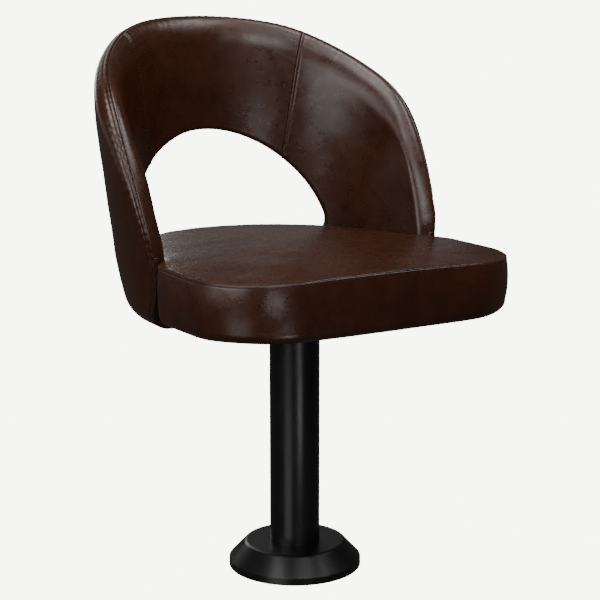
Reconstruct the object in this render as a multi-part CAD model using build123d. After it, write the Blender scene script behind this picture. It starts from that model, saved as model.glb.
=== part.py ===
"""Pedestal swivel armchair: an upholstered bucket seat on a floor-bolted steel column.

Millimetres, +Z up.  The sitter faces -Y.  The origin is on the column's axis, at the floor.
Every piece is a solid of its own and is written to parts/NAME.step.
"""
import os
from math import cos, hypot, radians, sin, sqrt

from build123d import *

# ---------------------------------------------------------------- driving dimensions
COLUMN_R = 38.05          # 76.1 mm structural tube
COLUMN_WALL = 3.0
COLUMN_TOP = 360.0

FLANGE_R = 90.0
FLANGE_T = 8.0
FLOOR_BOLT_PCD = 146.0
FLOOR_BOLT_HOLE_R = 5.5
WELD_LEG = 4.0

COVER_R = 101.4           # 203 mm trim cover over the flange
COVER_RIM_H = 10.8
COVER_TOP_R = 70.5
COVER_H = 38.0
COVER_SHEET = 2.5
COVER_SHOULDER_R = 8.0
COVER_COLUMN_GAP = 0.25

SPINDLE_R = 15.0
SPINDLE_BOTTOM = 264.0
RUNNING_GAP = 0.04        # radial clearance of the spindle in its bushes
BUSH_R = 18.0
BUSH_LENGTH = 26.0
BUSH_FLANGE_R = 25.0
BUSH_FLANGE_T = 2.0
HOUSING_BOTTOM = 280.0
HOUSING_FLANGE_T = 6.0
THRUST_WASHER_T = 2.0
AXIAL_GAP = 0.3           # free play between what turns and what stands still
RING_T = 2.0
RING_R = 20.0
RING_GROOVE_R = 13.5
HUB_R = 30.0

PLATE_SIZE = 210.0
PLATE_T = 5.0
PLATE_CORNER_R = 28.0
PLATE_BOLT_HALF_SPACING = 80.0
BOLT_R = 4.0
BOLT_HOLE_R = 4.5
BOLT_HEAD_FLATS = 13.0
BOLT_HEAD_H = 5.3
WASHER_R = 8.0
WASHER_T = 1.6
TEE_BARREL_R = 5.5
TEE_FLANGE_R = 11.0
TEE_FLANGE_T = 1.5

SHELL_FLOOR_Z = 396.5     # underside of the moulded shell's floor
SHELL_FLOOR_T = 12.0
TONGUE_HALF_WIDTH = 145.0
TONGUE_FRONT_Y = -140.0
TONGUE_CORNER_R = 40.0
BUCKET_AXIS_Y = 37.0      # the bucket is turned about an upright axis behind the column's
COVER_HEM_R = 165.0       # the outer cover ends here under the shell
BLOCK_HALF = 320.0
BUCKET_REACH_Z = 850.0    # above everything, before the rim line trims it
SHELL_EDGE_INSET = 9.0    # the covers wrap the shell's edge by this much
EDGE_MARGIN = 3.0         # an edge this far off the seam line is on the upholstered side
OUTER_RIM_ROUND = 12.0
INNER_RIM_ROUND = 9.0
INNER_CUTOUT_ROUND = 6.0
INNER_PAD_BOTTOM_Z = 462.0

CUTOUT_R = 186.0          # round cut-out in the back, its lower part closed by a sill
CUTOUT_Z = 465.0
CUTOUT_SILL_Z = 458.0
CUTOUT_CORNER_R = 45.0
CUTOUT_WALL_R = 238.0     # its walls run radially; its size is measured on this radius
CUTOUT_NEAR = 120.0       # upright planes behind the axis that the cutter spans
CUTOUT_FAR = 330.0

SEAT_HALF_WIDTH = 257.0
SEAT_WAIST_HALF_WIDTH = 252.0
SEAT_WAIST_Y = -44.0
SEAT_FRONT_Y = -257.0
SEAT_FRONT_BOW = 4.0
SEAT_CORNER_R = 109.0
SEAT_WAIST_R = 40.0
SEAT_REAR_R = 223.5
SEAT_JOIN_Y = -5.0        # where the sides meet the round rear
SEAT_JOIN_R = 25.0
SEAT_BOTTOM_Z = SHELL_FLOOR_Z + SHELL_FLOOR_T
SEAT_BOTTOM_ROUND = 22.0
CUSHION_SLACK = 0.6       # air between the cushion and the bucket
SEAM_APEX_Z = 499.0       # the seam lies on a shallow dome
SEAM_DOME_R = 4500.0
CROWN_APEX_Z = 504.0
CROWN_DOME_R = 3400.0
LEATHER_T = 4.0           # leather with its wadding
BOARD_T = 15.0
BOARD_INSET = 26.0
BOTTOM_HEM = 45.0         # leather turned under the board
CLOTH_T = 2.0

SEAM_TOP = (160.0, 806.0)     # half spacing and height of the inner panel seams
SEAM_LOW = (124.0, 612.0)

# Side view of the bucket's front edge, (y, z): arcs that run smoothly into one another, from
# under the seat up the arm to the rear of the rim.
RIM_START_ANGLE = 124.4       # degrees from +Y
RIM_LINE = [
    (38.3, 370.2),
    (2.8, 419.2),
    (-14.6, 528.7),
    (58.4, 672.7),
    (128.0, 739.9),
    (229.1, 803.2),
    (330.0, 839.2),
]

# Bucket's outer face, (r, z): a round foot, two easy curves, a cone between, then upright.
FOOT_CENTRE = (193.3, 430.7)
FOOT_R = 44.7
FOOT_LEAN = 16.0          # degrees from upright where the foot ends
OUTER_LOWER = (250.9, 490.0)
OUTER_UPPER = (271.7, 660.0)
OUTER_WIDEST = (275.1, 715.0)

# Straight-sided moulded shell: both faces of its wall, (r, z) from the top to the corner.
SHELL_OUTSIDE = [(261.0, BUCKET_REACH_Z), (261.0, 700.0), (242.0, 453.0), (236.0, 438.5)]
SHELL_INSIDE = [(253.0, BUCKET_REACH_Z), (253.0, 700.0), (234.0, 453.0), (226.0, 427.5)]
SHELL_OUTSIDE_CORNER_R = 42.0
SHELL_INSIDE_CORNER_R = 19.0

# Line inside the shell's wall where the outer and inner covers meet, (r, z).
COVER_SEAM = [
    (257.0, BUCKET_REACH_Z),
    (257.0, 700.0),
    (238.0, 453.0),
    (230.0, 430.0),
    (218.0, 409.0),
    (205.0, 402.0),
]

# Inner face of the inner pad, (r, z): nearly upright over the seat, easing out to the rim.
INNER_LOW = (225.0, INNER_PAD_BOTTOM_Z)
INNER_EASE = (228.0, 600.0)
INNER_HIGH = (240.0, BUCKET_REACH_Z)

PLATE_Z = SHELL_FLOOR_Z - PLATE_T
HOUSING_TOP = COLUMN_TOP + HOUSING_FLANGE_T
BUSH_TOP = HOUSING_TOP + BUSH_FLANGE_T
THRUST_TOP = BUSH_TOP + THRUST_WASHER_T
BOARD_Z = SEAT_BOTTOM_Z + CLOTH_T
BOARD_TOP = BOARD_Z + BOARD_T


# ---------------------------------------------------------------- helpers
def disc(radius, low, high, x=0.0, y=0.0):
    """Upright cylinder between two heights."""
    return Pos(x, y, low) * extrude(Circle(radius), high - low)


def ring(outer, inner, low, high, x=0.0, y=0.0):
    """Upright tube between two heights."""
    return Pos(x, y, low) * extrude(Circle(outer) - Circle(inner), high - low)


def turned(points, axis_y=0.0):
    """Solid of revolution from a closed outline of (r, z) corners."""
    outline = make_face(Polyline(*points, close=True))
    return Pos(0, axis_y, 0) * revolve(Plane.XZ * outline, Axis.Z)


def grouped(solids):
    """Identical pieces kept together as one group of separate solids."""
    return Compound(children=list(solids))


def bolt_places():
    """Centres of the four bolts that clamp the seat to its plate."""
    half = PLATE_BOLT_HALF_SPACING
    return [(sx * half, sy * half) for sx in (-1, 1) for sy in (-1, 1)]


# ---------------------------------------------------------------- pedestal
def floor_flange():
    """Steel disc with four floor bolt holes and the fillet weld that carries the column."""
    plate = disc(FLANGE_R, 0, FLANGE_T)
    plate = chamfer(plate.edges().group_by(Axis.Z)[-1], 1.0)
    holes = PolarLocations(FLOOR_BOLT_PCD / 2, 4, start_angle=45)
    for place in holes:
        plate -= place * Pos(0, 0, -1) * extrude(Circle(FLOOR_BOLT_HOLE_R), FLANGE_T + 2)
    weld = turned([
        (COLUMN_R, FLANGE_T),
        (COLUMN_R + WELD_LEG, FLANGE_T),
        (COLUMN_R, FLANGE_T + WELD_LEG),
    ])
    return plate + weld


def base_cover():
    """Spun steel trim cover: an upright rim, a cone, a rounded shoulder and a flat top."""
    def outline(inset):
        rim = COVER_R - inset
        top = COVER_H - inset
        lean = COVER_TOP_R + COVER_SHOULDER_R * 0.7 - inset * 0.4
        return [
            (COLUMN_R + COVER_COLUMN_GAP, 0),
            (rim, 0),
            (rim, COVER_RIM_H - inset * 0.5),
            (lean, top),
            (COLUMN_R + COVER_COLUMN_GAP, top),
        ]

    outside = turned(outline(0))
    shoulder = outside.edges().filter_by(GeomType.CIRCLE).group_by(Axis.Z)[-1].sort_by(SortBy.RADIUS)[-1]
    outside = fillet(shoulder, COVER_SHOULDER_R)
    inside = turned(outline(COVER_SHEET))
    shoulder = inside.edges().filter_by(GeomType.CIRCLE).group_by(Axis.Z)[-1].sort_by(SortBy.RADIUS)[-1]
    inside = fillet(shoulder, COVER_SHOULDER_R - COVER_SHEET)
    return outside - inside


def column_tube():
    """Structural tube, welded on the flange."""
    return ring(COLUMN_R, COLUMN_R - COLUMN_WALL, FLANGE_T, COLUMN_TOP)


def bearing_housing():
    """Turned insert in the column's mouth that holds both bushes."""
    insert = ring(COLUMN_R - COLUMN_WALL, BUSH_R, HOUSING_BOTTOM, COLUMN_TOP)
    lip = ring(COLUMN_R, BUSH_R, COLUMN_TOP, HOUSING_TOP)
    lip = chamfer(lip.edges().group_by(Axis.Z)[-1].sort_by(SortBy.RADIUS)[-1], 1.0)
    relief = ring(BUSH_R + 2, BUSH_R - 1, HOUSING_BOTTOM + BUSH_LENGTH, HOUSING_TOP - BUSH_LENGTH)
    return insert + lip - relief


def bush(low, flange_low):
    """Flanged plain bush between the housing and the spindle."""
    bore = SPINDLE_R + RUNNING_GAP
    sleeve = ring(BUSH_R, bore, low, low + BUSH_LENGTH)
    flange = ring(BUSH_FLANGE_R, bore, flange_low, flange_low + BUSH_FLANGE_T)
    return sleeve + flange


def thrust_washer():
    """Low-friction washer that the hub turns on."""
    return ring(BUSH_FLANGE_R, SPINDLE_R + 0.5, BUSH_TOP, THRUST_TOP)


# ---------------------------------------------------------------- swivel
def ring_top():
    """Height of the retaining ring's upper face, just under the lower bush."""
    return HOUSING_BOTTOM - BUSH_FLANGE_T - AXIAL_GAP


def swivel_spindle():
    """Steel spindle, grooved for its retaining ring and welded into the seat plate."""
    top = PLATE_Z + PLATE_T
    shaft = disc(SPINDLE_R, SPINDLE_BOTTOM, top)
    shaft = chamfer(shaft.edges().group_by(Axis.Z)[0], 1.5)
    groove = ring(SPINDLE_R + 1, RING_GROOVE_R, ring_top() - RING_T, ring_top())
    return shaft - groove


def retaining_ring():
    """Open spring ring in the spindle's groove."""
    body = ring(RING_R, RING_GROOVE_R, ring_top() - RING_T, ring_top())
    mouth = Pos(0, -RING_R, ring_top() - RING_T / 2) * Box(6, RING_R * 1.2, RING_T + 1)
    return body - mouth


def swivel_hub():
    """Turned boss that spreads the plate's load on the thrust washer."""
    low = THRUST_TOP + AXIAL_GAP
    return turned([
        (SPINDLE_R, low),
        (HUB_R, low),
        (HUB_R + 8, PLATE_Z),
        (SPINDLE_R, PLATE_Z),
    ])


def mounting_plate():
    """Square steel plate under the shell, with a slot pattern of four bolt holes."""
    outline = RectangleRounded(PLATE_SIZE, PLATE_SIZE, PLATE_CORNER_R) - Circle(SPINDLE_R)
    for x, y in bolt_places():
        outline -= Pos(x, y) * Circle(BOLT_HOLE_R)
    return Pos(0, 0, PLATE_Z) * extrude(outline, PLATE_T)


def plate_washers():
    """One flat washer under each bolt head."""
    return grouped(ring(WASHER_R, BOLT_HOLE_R, PLATE_Z - WASHER_T, PLATE_Z, x, y) for x, y in bolt_places())


def plate_bolts():
    """Hexagon bolts from below, through plate, shell and board, into the tee nuts."""
    head_z = PLATE_Z - WASHER_T - BOLT_HEAD_H
    hexagon = RegularPolygon(BOLT_HEAD_FLATS / 2, 6, major_radius=False)
    bolts = []
    for x, y in bolt_places():
        head = Pos(x, y, head_z) * extrude(hexagon, BOLT_HEAD_H)
        bolts.append(head + disc(BOLT_R, head_z, BOARD_TOP, x, y))
    return grouped(bolts)


def tee_nuts():
    """Tee nuts set in the top of the seat board."""
    nuts = []
    for x, y in bolt_places():
        barrel = ring(TEE_BARREL_R, BOLT_R, BOARD_Z + 3, BOARD_TOP, x, y)
        flange = ring(TEE_FLANGE_R, BOLT_R, BOARD_TOP, BOARD_TOP + TEE_FLANGE_T, x, y)
        nuts.append(barrel + flange)
    return grouped(nuts)


# ---------------------------------------------------------------- seat cushion
def seat_outline():
    """Plan of the cushion: bowed front, soft corners, a waist, and a round rear inside the bucket."""
    front_corner = (SEAT_HALF_WIDTH, SEAT_FRONT_Y + SEAT_FRONT_BOW)
    waist = (SEAT_WAIST_HALF_WIDTH, SEAT_WAIST_Y)
    join = (sqrt(SEAT_REAR_R ** 2 - (BUCKET_AXIS_Y - SEAT_JOIN_Y) ** 2), SEAT_JOIN_Y)
    left = [(-x, y) for x, y in (join, waist, front_corner)]
    line = ThreePointArc(left[2], (0, SEAT_FRONT_Y), front_corner)
    line += Polyline(front_corner, waist, join)
    line += ThreePointArc(join, (0, BUCKET_AXIS_Y + SEAT_REAR_R), left[0])
    line += Polyline(*left)
    plan = make_face(line)
    for corner, radius in (
        (front_corner, SEAT_CORNER_R), (waist, SEAT_WAIST_R), (join, SEAT_JOIN_R),
    ):
        plan = fillet([v for v in plan.vertices() if abs(v.Y - corner[1]) < 0.1], radius)
    return plan


def dome(apex_z, radius):
    """Large ball whose top makes the cushion's crown."""
    return Pos(0, 0, apex_z - radius) * Sphere(radius)


def cushion_body(inset, bottom, bottom_round):
    """Cushion form before its crown: the plan, drawn up, with a rounded lower edge."""
    plan = seat_outline()
    if inset:
        plan = offset(plan, -inset)
    body = Pos(0, 0, bottom) * extrude(plan, SEAM_APEX_Z + 30 - bottom)
    return fillet(body.edges().group_by(Axis.Z)[0], bottom_round)


def seat_board():
    """Plywood board that carries the cushion and takes the bolts."""
    board = Pos(0, 0, BOARD_Z) * extrude(offset(seat_outline(), -BOARD_INSET), BOARD_T)
    for x, y in bolt_places():
        board -= disc(BOLT_HOLE_R, BOARD_Z - 1, BOARD_Z + 3, x, y)
        board -= disc(TEE_BARREL_R, BOARD_Z + 3, BOARD_TOP + 1, x, y)
    return board


def seat_bottom_cloth():
    """Black cloth that closes the cushion's underside inside the turned leather."""
    cloth = Pos(0, 0, SEAT_BOTTOM_Z) * extrude(offset(seat_outline(), -BOTTOM_HEM), CLOTH_T)
    for x, y in bolt_places():
        cloth -= disc(BOLT_HOLE_R, SEAT_BOTTOM_Z - 1, BOARD_Z + 1, x, y)
    return cloth


def seat_foam():
    """Moulded foam over and round the board."""
    foam = cushion_body(LEATHER_T, BOARD_Z, SEAT_BOTTOM_ROUND - CLOTH_T)
    foam &= dome(SEAM_APEX_Z, SEAM_DOME_R)
    foam -= Pos(0, 0, BOARD_Z) * extrude(offset(seat_outline(), -BOARD_INSET), BOARD_T)
    for x, y in bolt_places():
        foam -= disc(TEE_FLANGE_R, BOARD_TOP - 1, BOARD_TOP + TEE_FLANGE_T, x, y)
    return foam


def seat_border():
    """Leather band round the cushion, turned under the board."""
    outside = cushion_body(0, SEAT_BOTTOM_Z, SEAT_BOTTOM_ROUND) & dome(SEAM_APEX_Z, SEAM_DOME_R)
    inside = cushion_body(LEATHER_T, BOARD_Z, SEAT_BOTTOM_ROUND - CLOTH_T)
    window = Pos(0, 0, SEAT_BOTTOM_Z - 1) * extrude(offset(seat_outline(), -BOTTOM_HEM), CLOTH_T + 2)
    return outside - inside - window


def seat_top_cover():
    """Crowned leather top panel with its wadding, from the seam up."""
    blank = Pos(0, 0, SEAM_APEX_Z - 40) * extrude(seat_outline(), 80)
    return (blank & dome(CROWN_APEX_Z, CROWN_DOME_R)) - dome(SEAM_APEX_Z, SEAM_DOME_R)


# ---------------------------------------------------------------- bucket back
def side_profile(inset=0.0):
    """Side view of everything behind the rim line, drawn across the whole width."""
    angle = radians(RIM_START_ANGLE)
    heading = (cos(angle), sin(angle))
    rim = Curve()
    for start, end in zip(RIM_LINE, RIM_LINE[1:]):
        arc = TangentArc(start, end, tangent=heading)
        heading = arc % 1
        rim += arc
    low = RIM_LINE[0]
    top = RIM_LINE[-1]
    rear = top[0] + 40
    floor = low[1] - 40
    rest = Polyline(top, (rear, top[1]), (rear, floor), (low[0], floor), low)
    area = make_face(rim + rest)
    if inset:
        area = offset(area, -inset)
    return Plane.YZ * area


def behind_rim(inset=0.0):
    """Block that trims a turned layer to the rim line."""
    return Pos(-BLOCK_HALF, 0, 0) * extrude(side_profile(inset), BLOCK_HALF * 2)


def fanned(edge, depth):
    """One edge of the cut-out's outline, spread to where its radial walls cross an upright plane."""
    def spread(share):
        p = edge.position_at(share)
        return (depth * p.X / sqrt(CUTOUT_WALL_R ** 2 - p.X ** 2), p.Y)

    if edge.geom_type == GeomType.LINE:
        return Line(spread(0), spread(1))
    ends = [(Vector(*spread(b)) - Vector(*spread(a))).normalized() for a, b in ((0, 5e-4), (0.9995, 1))]
    return Spline(*[spread(k / 8) for k in range(9)], tangents=ends)


def cutout(grow=0.0):
    """Round cut-out through the rear, its walls radial, closed below by a sill with soft corners."""
    low = CUTOUT_SILL_Z - grow
    opening = Pos(0, CUTOUT_Z) * Circle(CUTOUT_R + grow)
    opening &= Pos(0, low + BLOCK_HALF) * Rectangle(BLOCK_HALF * 2, BLOCK_HALF * 2)
    corners = [v for v in opening.vertices() if abs(v.Y - low) < 1]
    opening = fillet(corners, CUTOUT_CORNER_R)
    edges = opening.faces()[0].outer_wire().edges()
    sections = []
    for depth in (CUTOUT_NEAR, CUTOUT_FAR):
        outline = make_face(Curve() + [fanned(edge, depth) for edge in edges])
        sections.append(Plane.XZ.offset(-BUCKET_AXIS_Y - depth) * outline)
    return loft(sections, ruled=True)


def bucket(face):
    """Turn an (r, z) face about the bucket's own axis, starting in the open front."""
    start = Plane(origin=(0, 0, 0), x_dir=(0, -1, 0), z_dir=(-1, 0, 0))
    return Pos(0, BUCKET_AXIS_Y, 0) * revolve(start * face, Axis.Z)


def shell_layer():
    """Moulded shell before its holes: straight-sided wall, curved corner and floor."""
    knee_out = SHELL_OUTSIDE[-1]
    knee_in = SHELL_INSIDE[-1]
    foot_out = (knee_out[0] - SHELL_OUTSIDE_CORNER_R, SHELL_FLOOR_Z)
    foot_in = (knee_in[0] - SHELL_INSIDE_CORNER_R, SEAT_BOTTOM_Z)
    line = Polyline(*SHELL_OUTSIDE)
    line += RadiusArc(knee_out, foot_out, SHELL_OUTSIDE_CORNER_R)
    line += Polyline(foot_out, (0, SHELL_FLOOR_Z), (0, SEAT_BOTTOM_Z), foot_in)
    line += RadiusArc(foot_in, knee_in, -SHELL_INSIDE_CORNER_R)
    line += Polyline(*reversed(SHELL_INSIDE))
    line += Line(SHELL_INSIDE[0], SHELL_OUTSIDE[0])
    return bucket(make_face(line))


def cushion_space():
    """Room that the cushion takes inside the bucket, with a little slack."""
    return cushion_body(-CUSHION_SLACK, SEAT_BOTTOM_Z, SEAT_BOTTOM_ROUND)


def back_shell():
    """Moulded shell: wall, floor and the tongue under the cushion, in one piece."""
    wall = shell_layer() & behind_rim(SHELL_EDGE_INSET)
    wall -= cutout(SHELL_EDGE_INSET)
    wall -= cushion_space()
    depth = BUCKET_AXIS_Y + 40 - TONGUE_FRONT_Y
    tongue = RectangleRounded(TONGUE_HALF_WIDTH * 2, depth, TONGUE_CORNER_R)
    tongue = extrude(Pos(0, TONGUE_FRONT_Y + depth / 2) * tongue, SHELL_FLOOR_T)
    shell = wall + Pos(0, 0, SHELL_FLOOR_Z) * tongue
    for x, y in bolt_places():
        shell -= disc(BOLT_HOLE_R, SHELL_FLOOR_Z - 1, SEAT_BOTTOM_Z + 1, x, y)
    return shell


def outer_face():
    """Outline of the bucket's outer face from under the shell to the top."""
    lean = radians(FOOT_LEAN)
    bottom = (FOOT_CENTRE[0], FOOT_CENTRE[1] - FOOT_R)
    foot_end = (FOOT_CENTRE[0] + FOOT_R * cos(lean), FOOT_CENTRE[1] - FOOT_R * sin(lean))
    line = TangentArc(bottom, foot_end, tangent=(1, 0))
    line += TangentArc(foot_end, OUTER_LOWER, tangent=(sin(lean), cos(lean)))
    line += Line(OUTER_LOWER, OUTER_UPPER)
    line += TangentArc(OUTER_WIDEST, OUTER_UPPER, tangent=(0, -1))
    line += Line(OUTER_WIDEST, (OUTER_WIDEST[0], BUCKET_REACH_Z))
    return line


def seam_radius(z):
    """Radius of the line where the outer and inner covers meet, at one height."""
    for (r_high, z_high), (r_low, z_low) in zip(COVER_SEAM, COVER_SEAM[1:]):
        if z >= z_low:
            return r_low + (r_high - r_low) * (z - z_low) / (z_high - z_low)
    return COVER_SEAM[-1][0]


def on_cutout(p):
    """Whether a point of a cover's edge lies on the cut-out's walls."""
    across = p.X * CUTOUT_WALL_R / hypot(p.X, p.Y - BUCKET_AXIS_Y)
    return p.Y > BUCKET_AXIS_Y + 100 and hypot(across, p.Z - CUTOUT_Z) < CUTOUT_R + 1


def soften(layer, side, rim_round, cutout_round=0.0):
    """Round a layer's edges on its upholstered side: side is 1 for the outer, -1 for the inner."""
    rim = []
    hole = []
    for edge in layer.edges():
        points = [edge.position_at(t) for t in (0.05, 0.5, 0.95)]
        gaps = [side * (hypot(p.X, p.Y - BUCKET_AXIS_Y) - seam_radius(p.Z)) for p in points]
        if edge.geom_type == GeomType.CIRCLE or min(gaps) < EDGE_MARGIN:
            continue
        (hole if all(on_cutout(p) for p in points) else rim).append(edge)
    layer = fillet(rim, rim_round)
    if not cutout_round:
        return layer
    hole = [e for e in layer.edges() if any((e.center() - h.center()).length < 0.01 for h in hole)]
    return fillet(hole, cutout_round)


def back_outer_cover(shell):
    """Foam-backed outer leather, wrapped round the shell's edges and hemmed underneath."""
    bottom = FOOT_CENTRE[1] - FOOT_R
    top = (OUTER_WIDEST[0], BUCKET_REACH_Z)
    hem = [(COVER_HEM_R, COVER_SEAM[-1][1]), (COVER_HEM_R, bottom), (FOOT_CENTRE[0], bottom)]
    line = outer_face() + Polyline(top, *COVER_SEAM, *hem)
    cover = bucket(make_face(line)) & behind_rim()
    cover -= cutout()
    cover = soften(cover, 1, OUTER_RIM_ROUND)
    cover -= cushion_space()
    return cover - shell


def inner_pad(shell):
    """Foam-backed inner leather in one piece, before its seams."""
    low = (COVER_SEAM[2][0], INNER_PAD_BOTTOM_Z)
    lean = (INNER_EASE[0] - INNER_LOW[0], INNER_EASE[1] - INNER_LOW[1])
    line = Line(INNER_LOW, INNER_EASE)
    line += TangentArc(INNER_EASE, INNER_HIGH, tangent=lean)
    line += Polyline(INNER_HIGH, COVER_SEAM[0], COVER_SEAM[1], low, INNER_LOW)
    pad = bucket(make_face(line)) & behind_rim()
    pad -= cutout()
    pad = soften(pad, -1, INNER_RIM_ROUND, INNER_CUTOUT_ROUND)
    pad -= cushion_space()
    return pad - shell


def seam_side_block():
    """Wedge that holds the middle panel, between the two leaning seams."""
    lean = (SEAM_TOP[0] - SEAM_LOW[0]) / (SEAM_TOP[1] - SEAM_LOW[1])
    low = SEAM_LOW[0] - lean * (SEAM_LOW[1] - INNER_PAD_BOTTOM_Z + 10)
    high = SEAM_TOP[0] + lean * (BUCKET_REACH_Z - SEAM_TOP[1])
    z_low = INNER_PAD_BOTTOM_Z - 10
    outline = [(-low, z_low), (low, z_low), (high, BUCKET_REACH_Z), (-high, BUCKET_REACH_Z)]
    return extrude(Plane.XZ * make_face(Polyline(*outline, close=True)), -400)


def inner_panels(shell):
    """Inner cover sewn from a left, a middle and a right panel."""
    pad = inner_pad(shell)
    wedge = seam_side_block()
    sides = (pad - wedge).solids().sort_by(Axis.X)
    return {
        "back_inner_left": sides[0],
        "back_inner_centre": pad & wedge,
        "back_inner_right": sides[-1],
    }


def main():
    """Build every piece and write it."""
    shell = back_shell()
    pieces = {
        "floor_flange": floor_flange(),
        "base_cover": base_cover(),
        "column_tube": column_tube(),
        "bearing_housing": bearing_housing(),
        "upper_bush": bush(HOUSING_TOP - BUSH_LENGTH, HOUSING_TOP),
        "lower_bush": bush(HOUSING_BOTTOM, HOUSING_BOTTOM - BUSH_FLANGE_T),
        "thrust_washer": thrust_washer(),
        "swivel_spindle": swivel_spindle(),
        "retaining_ring": retaining_ring(),
        "swivel_hub": swivel_hub(),
        "mounting_plate": mounting_plate(),
        "plate_washers": plate_washers(),
        "plate_bolts": plate_bolts(),
        "tee_nuts": tee_nuts(),
        "seat_board": seat_board(),
        "seat_bottom_cloth": seat_bottom_cloth(),
        "seat_foam": seat_foam(),
        "seat_border": seat_border(),
        "seat_top_cover": seat_top_cover(),
        "back_shell": shell,
        "back_outer_cover": back_outer_cover(shell),
    }
    pieces.update(inner_panels(shell))
    os.makedirs("parts", exist_ok=True)
    for name, piece in pieces.items():
        export_step(piece, "parts/" + name + ".step")
        print(name, len(piece.solids()), "solid(s),", round(piece.volume), "mm3, valid", piece.is_valid)


if __name__ == "__main__":
    main()
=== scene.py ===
"""Looks for a pedestal swivel armchair: stretched leather over foam, on a powder-coated column.

Laid out as a Blender add-on and run as a script.  Sizes are in millimetres where they are named
and in metres once they reach Blender.  The sitter faces -Y.
"""
import functools
import math

import bpy
import numpy as np
from bpy.props import FloatProperty, FloatVectorProperty, PointerProperty
from mathutils import Euler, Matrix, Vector, noise


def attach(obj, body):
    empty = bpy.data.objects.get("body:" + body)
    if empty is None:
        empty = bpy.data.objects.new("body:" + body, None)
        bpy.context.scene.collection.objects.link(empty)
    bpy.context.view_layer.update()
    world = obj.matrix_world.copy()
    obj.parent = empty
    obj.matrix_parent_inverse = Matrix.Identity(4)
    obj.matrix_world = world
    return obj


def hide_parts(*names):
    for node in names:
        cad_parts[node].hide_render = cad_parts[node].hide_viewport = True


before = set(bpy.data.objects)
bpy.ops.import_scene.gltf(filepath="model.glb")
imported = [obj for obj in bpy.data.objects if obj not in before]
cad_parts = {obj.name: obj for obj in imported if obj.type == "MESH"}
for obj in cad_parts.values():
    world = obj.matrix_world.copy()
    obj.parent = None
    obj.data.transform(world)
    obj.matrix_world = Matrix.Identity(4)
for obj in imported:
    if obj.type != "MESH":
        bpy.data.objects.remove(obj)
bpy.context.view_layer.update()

bl_info = {
    "name": "Pedestal swivel armchair",
    "version": (1, 0, 0),
    "blender": (4, 5, 0),
    "location": "3D View > Sidebar > Armchair",
    "description": "Builds the upholstery, stitching and finishes round the packed armchair",
    "category": "Object",
}

MM = 0.001

# ------------------------------------------------------------------ shapes shared with the solids
AXIS_Y = 37.0                 # the bucket is turned about an upright axis behind the column's
RIM_START_ANGLE = 124.4       # the bucket's front edge in side view, (y, z), as smooth arcs
RIM_LINE = [
    (38.3, 370.2), (2.8, 419.2), (-14.6, 528.7), (58.4, 672.7), (128.0, 739.9), (229.1, 803.2),
    (330.0, 839.2),
]
RIM_UPPER_Z = 480.0           # above this the front edge only runs back as it rises
HEM_R = 165.0                 # the outer cover ends here under the shell
FOOT_CENTRE = (193.3, 430.7)
FOOT_R = 44.7
FOOT_LEAN = 16.0
FOOT_TOP_Z = 470.0            # below this the outer face curves in towards the hem
OUTER_LOWER = (250.9, 490.0)
OUTER_UPPER = (271.7, 660.0)
OUTER_WIDEST = (275.1, 715.0)
BUCKET_REACH_Z = 850.0
INNER_LOW = (225.0, 462.0)
INNER_EASE = (228.0, 600.0)
INNER_HIGH = (240.0, 850.0)
COVER_SEAM = [                # the covers meet on this line inside the shell's wall, (r, z)
    (257.0, 850.0), (257.0, 700.0), (238.0, 453.0), (230.0, 430.0), (218.0, 409.0), (205.0, 402.0),
]
CUTOUT_R = 186.0
CUTOUT_WALL_R = 238.0         # its walls run radially; its size is measured on this radius
CUTOUT_Z = 465.0
CUTOUT_SILL_Z = 458.0
CUTOUT_CORNER_R = 45.0
SEAM_TOP = (160.0, 806.0)     # half spacing and height of the inner panel seams
SEAM_LOW = (124.0, 612.0)

SEAT_HALF_WIDTH = 257.0
SEAT_WAIST = (252.0, -44.0)
SEAT_FRONT_Y = -257.0
SEAT_FRONT_BOW = 4.0
SEAT_BOW_END = (-150.0, 80.0)   # the front's bow fades out from this y over this length
SEAT_CORNER_R = 109.0
SEAT_WAIST_R = 40.0
SEAT_JOIN_Y = -5.0
SEAT_JOIN_SOFT = 14.0         # the plan is eased this far either side of its join
SEAT_REAR_R = 223.5
SEAT_MIDDLE = np.array([0.0, 20.0])
SEAT_BOTTOM_Z = 407.5         # the leather hangs a little below the solid, and turns under tighter
SEAT_BOTTOM_ROUND = 18.0
SEAT_HEM = 45.0
SEAM_APEX_Z = 499.0
SEAM_DOME_R = 5200.0
CROWN_APEX_Z = 504.0
CROWN_DOME_R = 3400.0

# ------------------------------------------------------------------ upholstery sizes
EDGE_R = 254.5                # the rim's ridge stands this far from the bucket's axis
EDGE_PROUD = 1.0              # lower down it lies this much inside the outer face
DOMAIN_R = 255.0              # turns an angle into a length on the laid-out skin
OUTER_ROLL = 22.0             # how far from the ridge each cover starts to roll over
INNER_ROLL = 44.0
INNER_ROLL_ARMS = 13.0
INNER_ROLL_Z = (600.0, 140.0)   # the inner roll widens from this height over this length
INNER_PILLOW = 3.5            # foam pillows a panel by this much where it is deepest
PILLOW_DEPTH = 190.0
HOLE_SEAM_R = 243.0           # the covers meet here inside the cut-out
OUTER_HOLE_ROLL = 5.0
INNER_HOLE_ROLL = 5.0
INNER_HOLE_PROUD = 1.6        # the inner panels are fullest along the sides of the cut-out
HEM_ROLL = 8.0
HEM_ROLL_Z = 392.0            # the tight roll of the hem opens out from here to the foot's top
HEM_CORNER_SOFT = 26.0
PANEL_LOW_Z = CUTOUT_SILL_Z + 4
MATCH_Z = 535.0               # rim and cut-out are matched by direction from this height
SEAM_BLEND = 60.0             # this far from a seam a panel's rows no longer follow it
FELL_INSET = 5.9              # from the inner seams to their topstitching
SEAT_STITCH_INSET = 3.6
SKIN = 2.2                    # leather with its backing
LIP_SKIN = 1.6
TOP_SKIN = 3.0
BORDER_SKIN = 2.5

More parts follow.
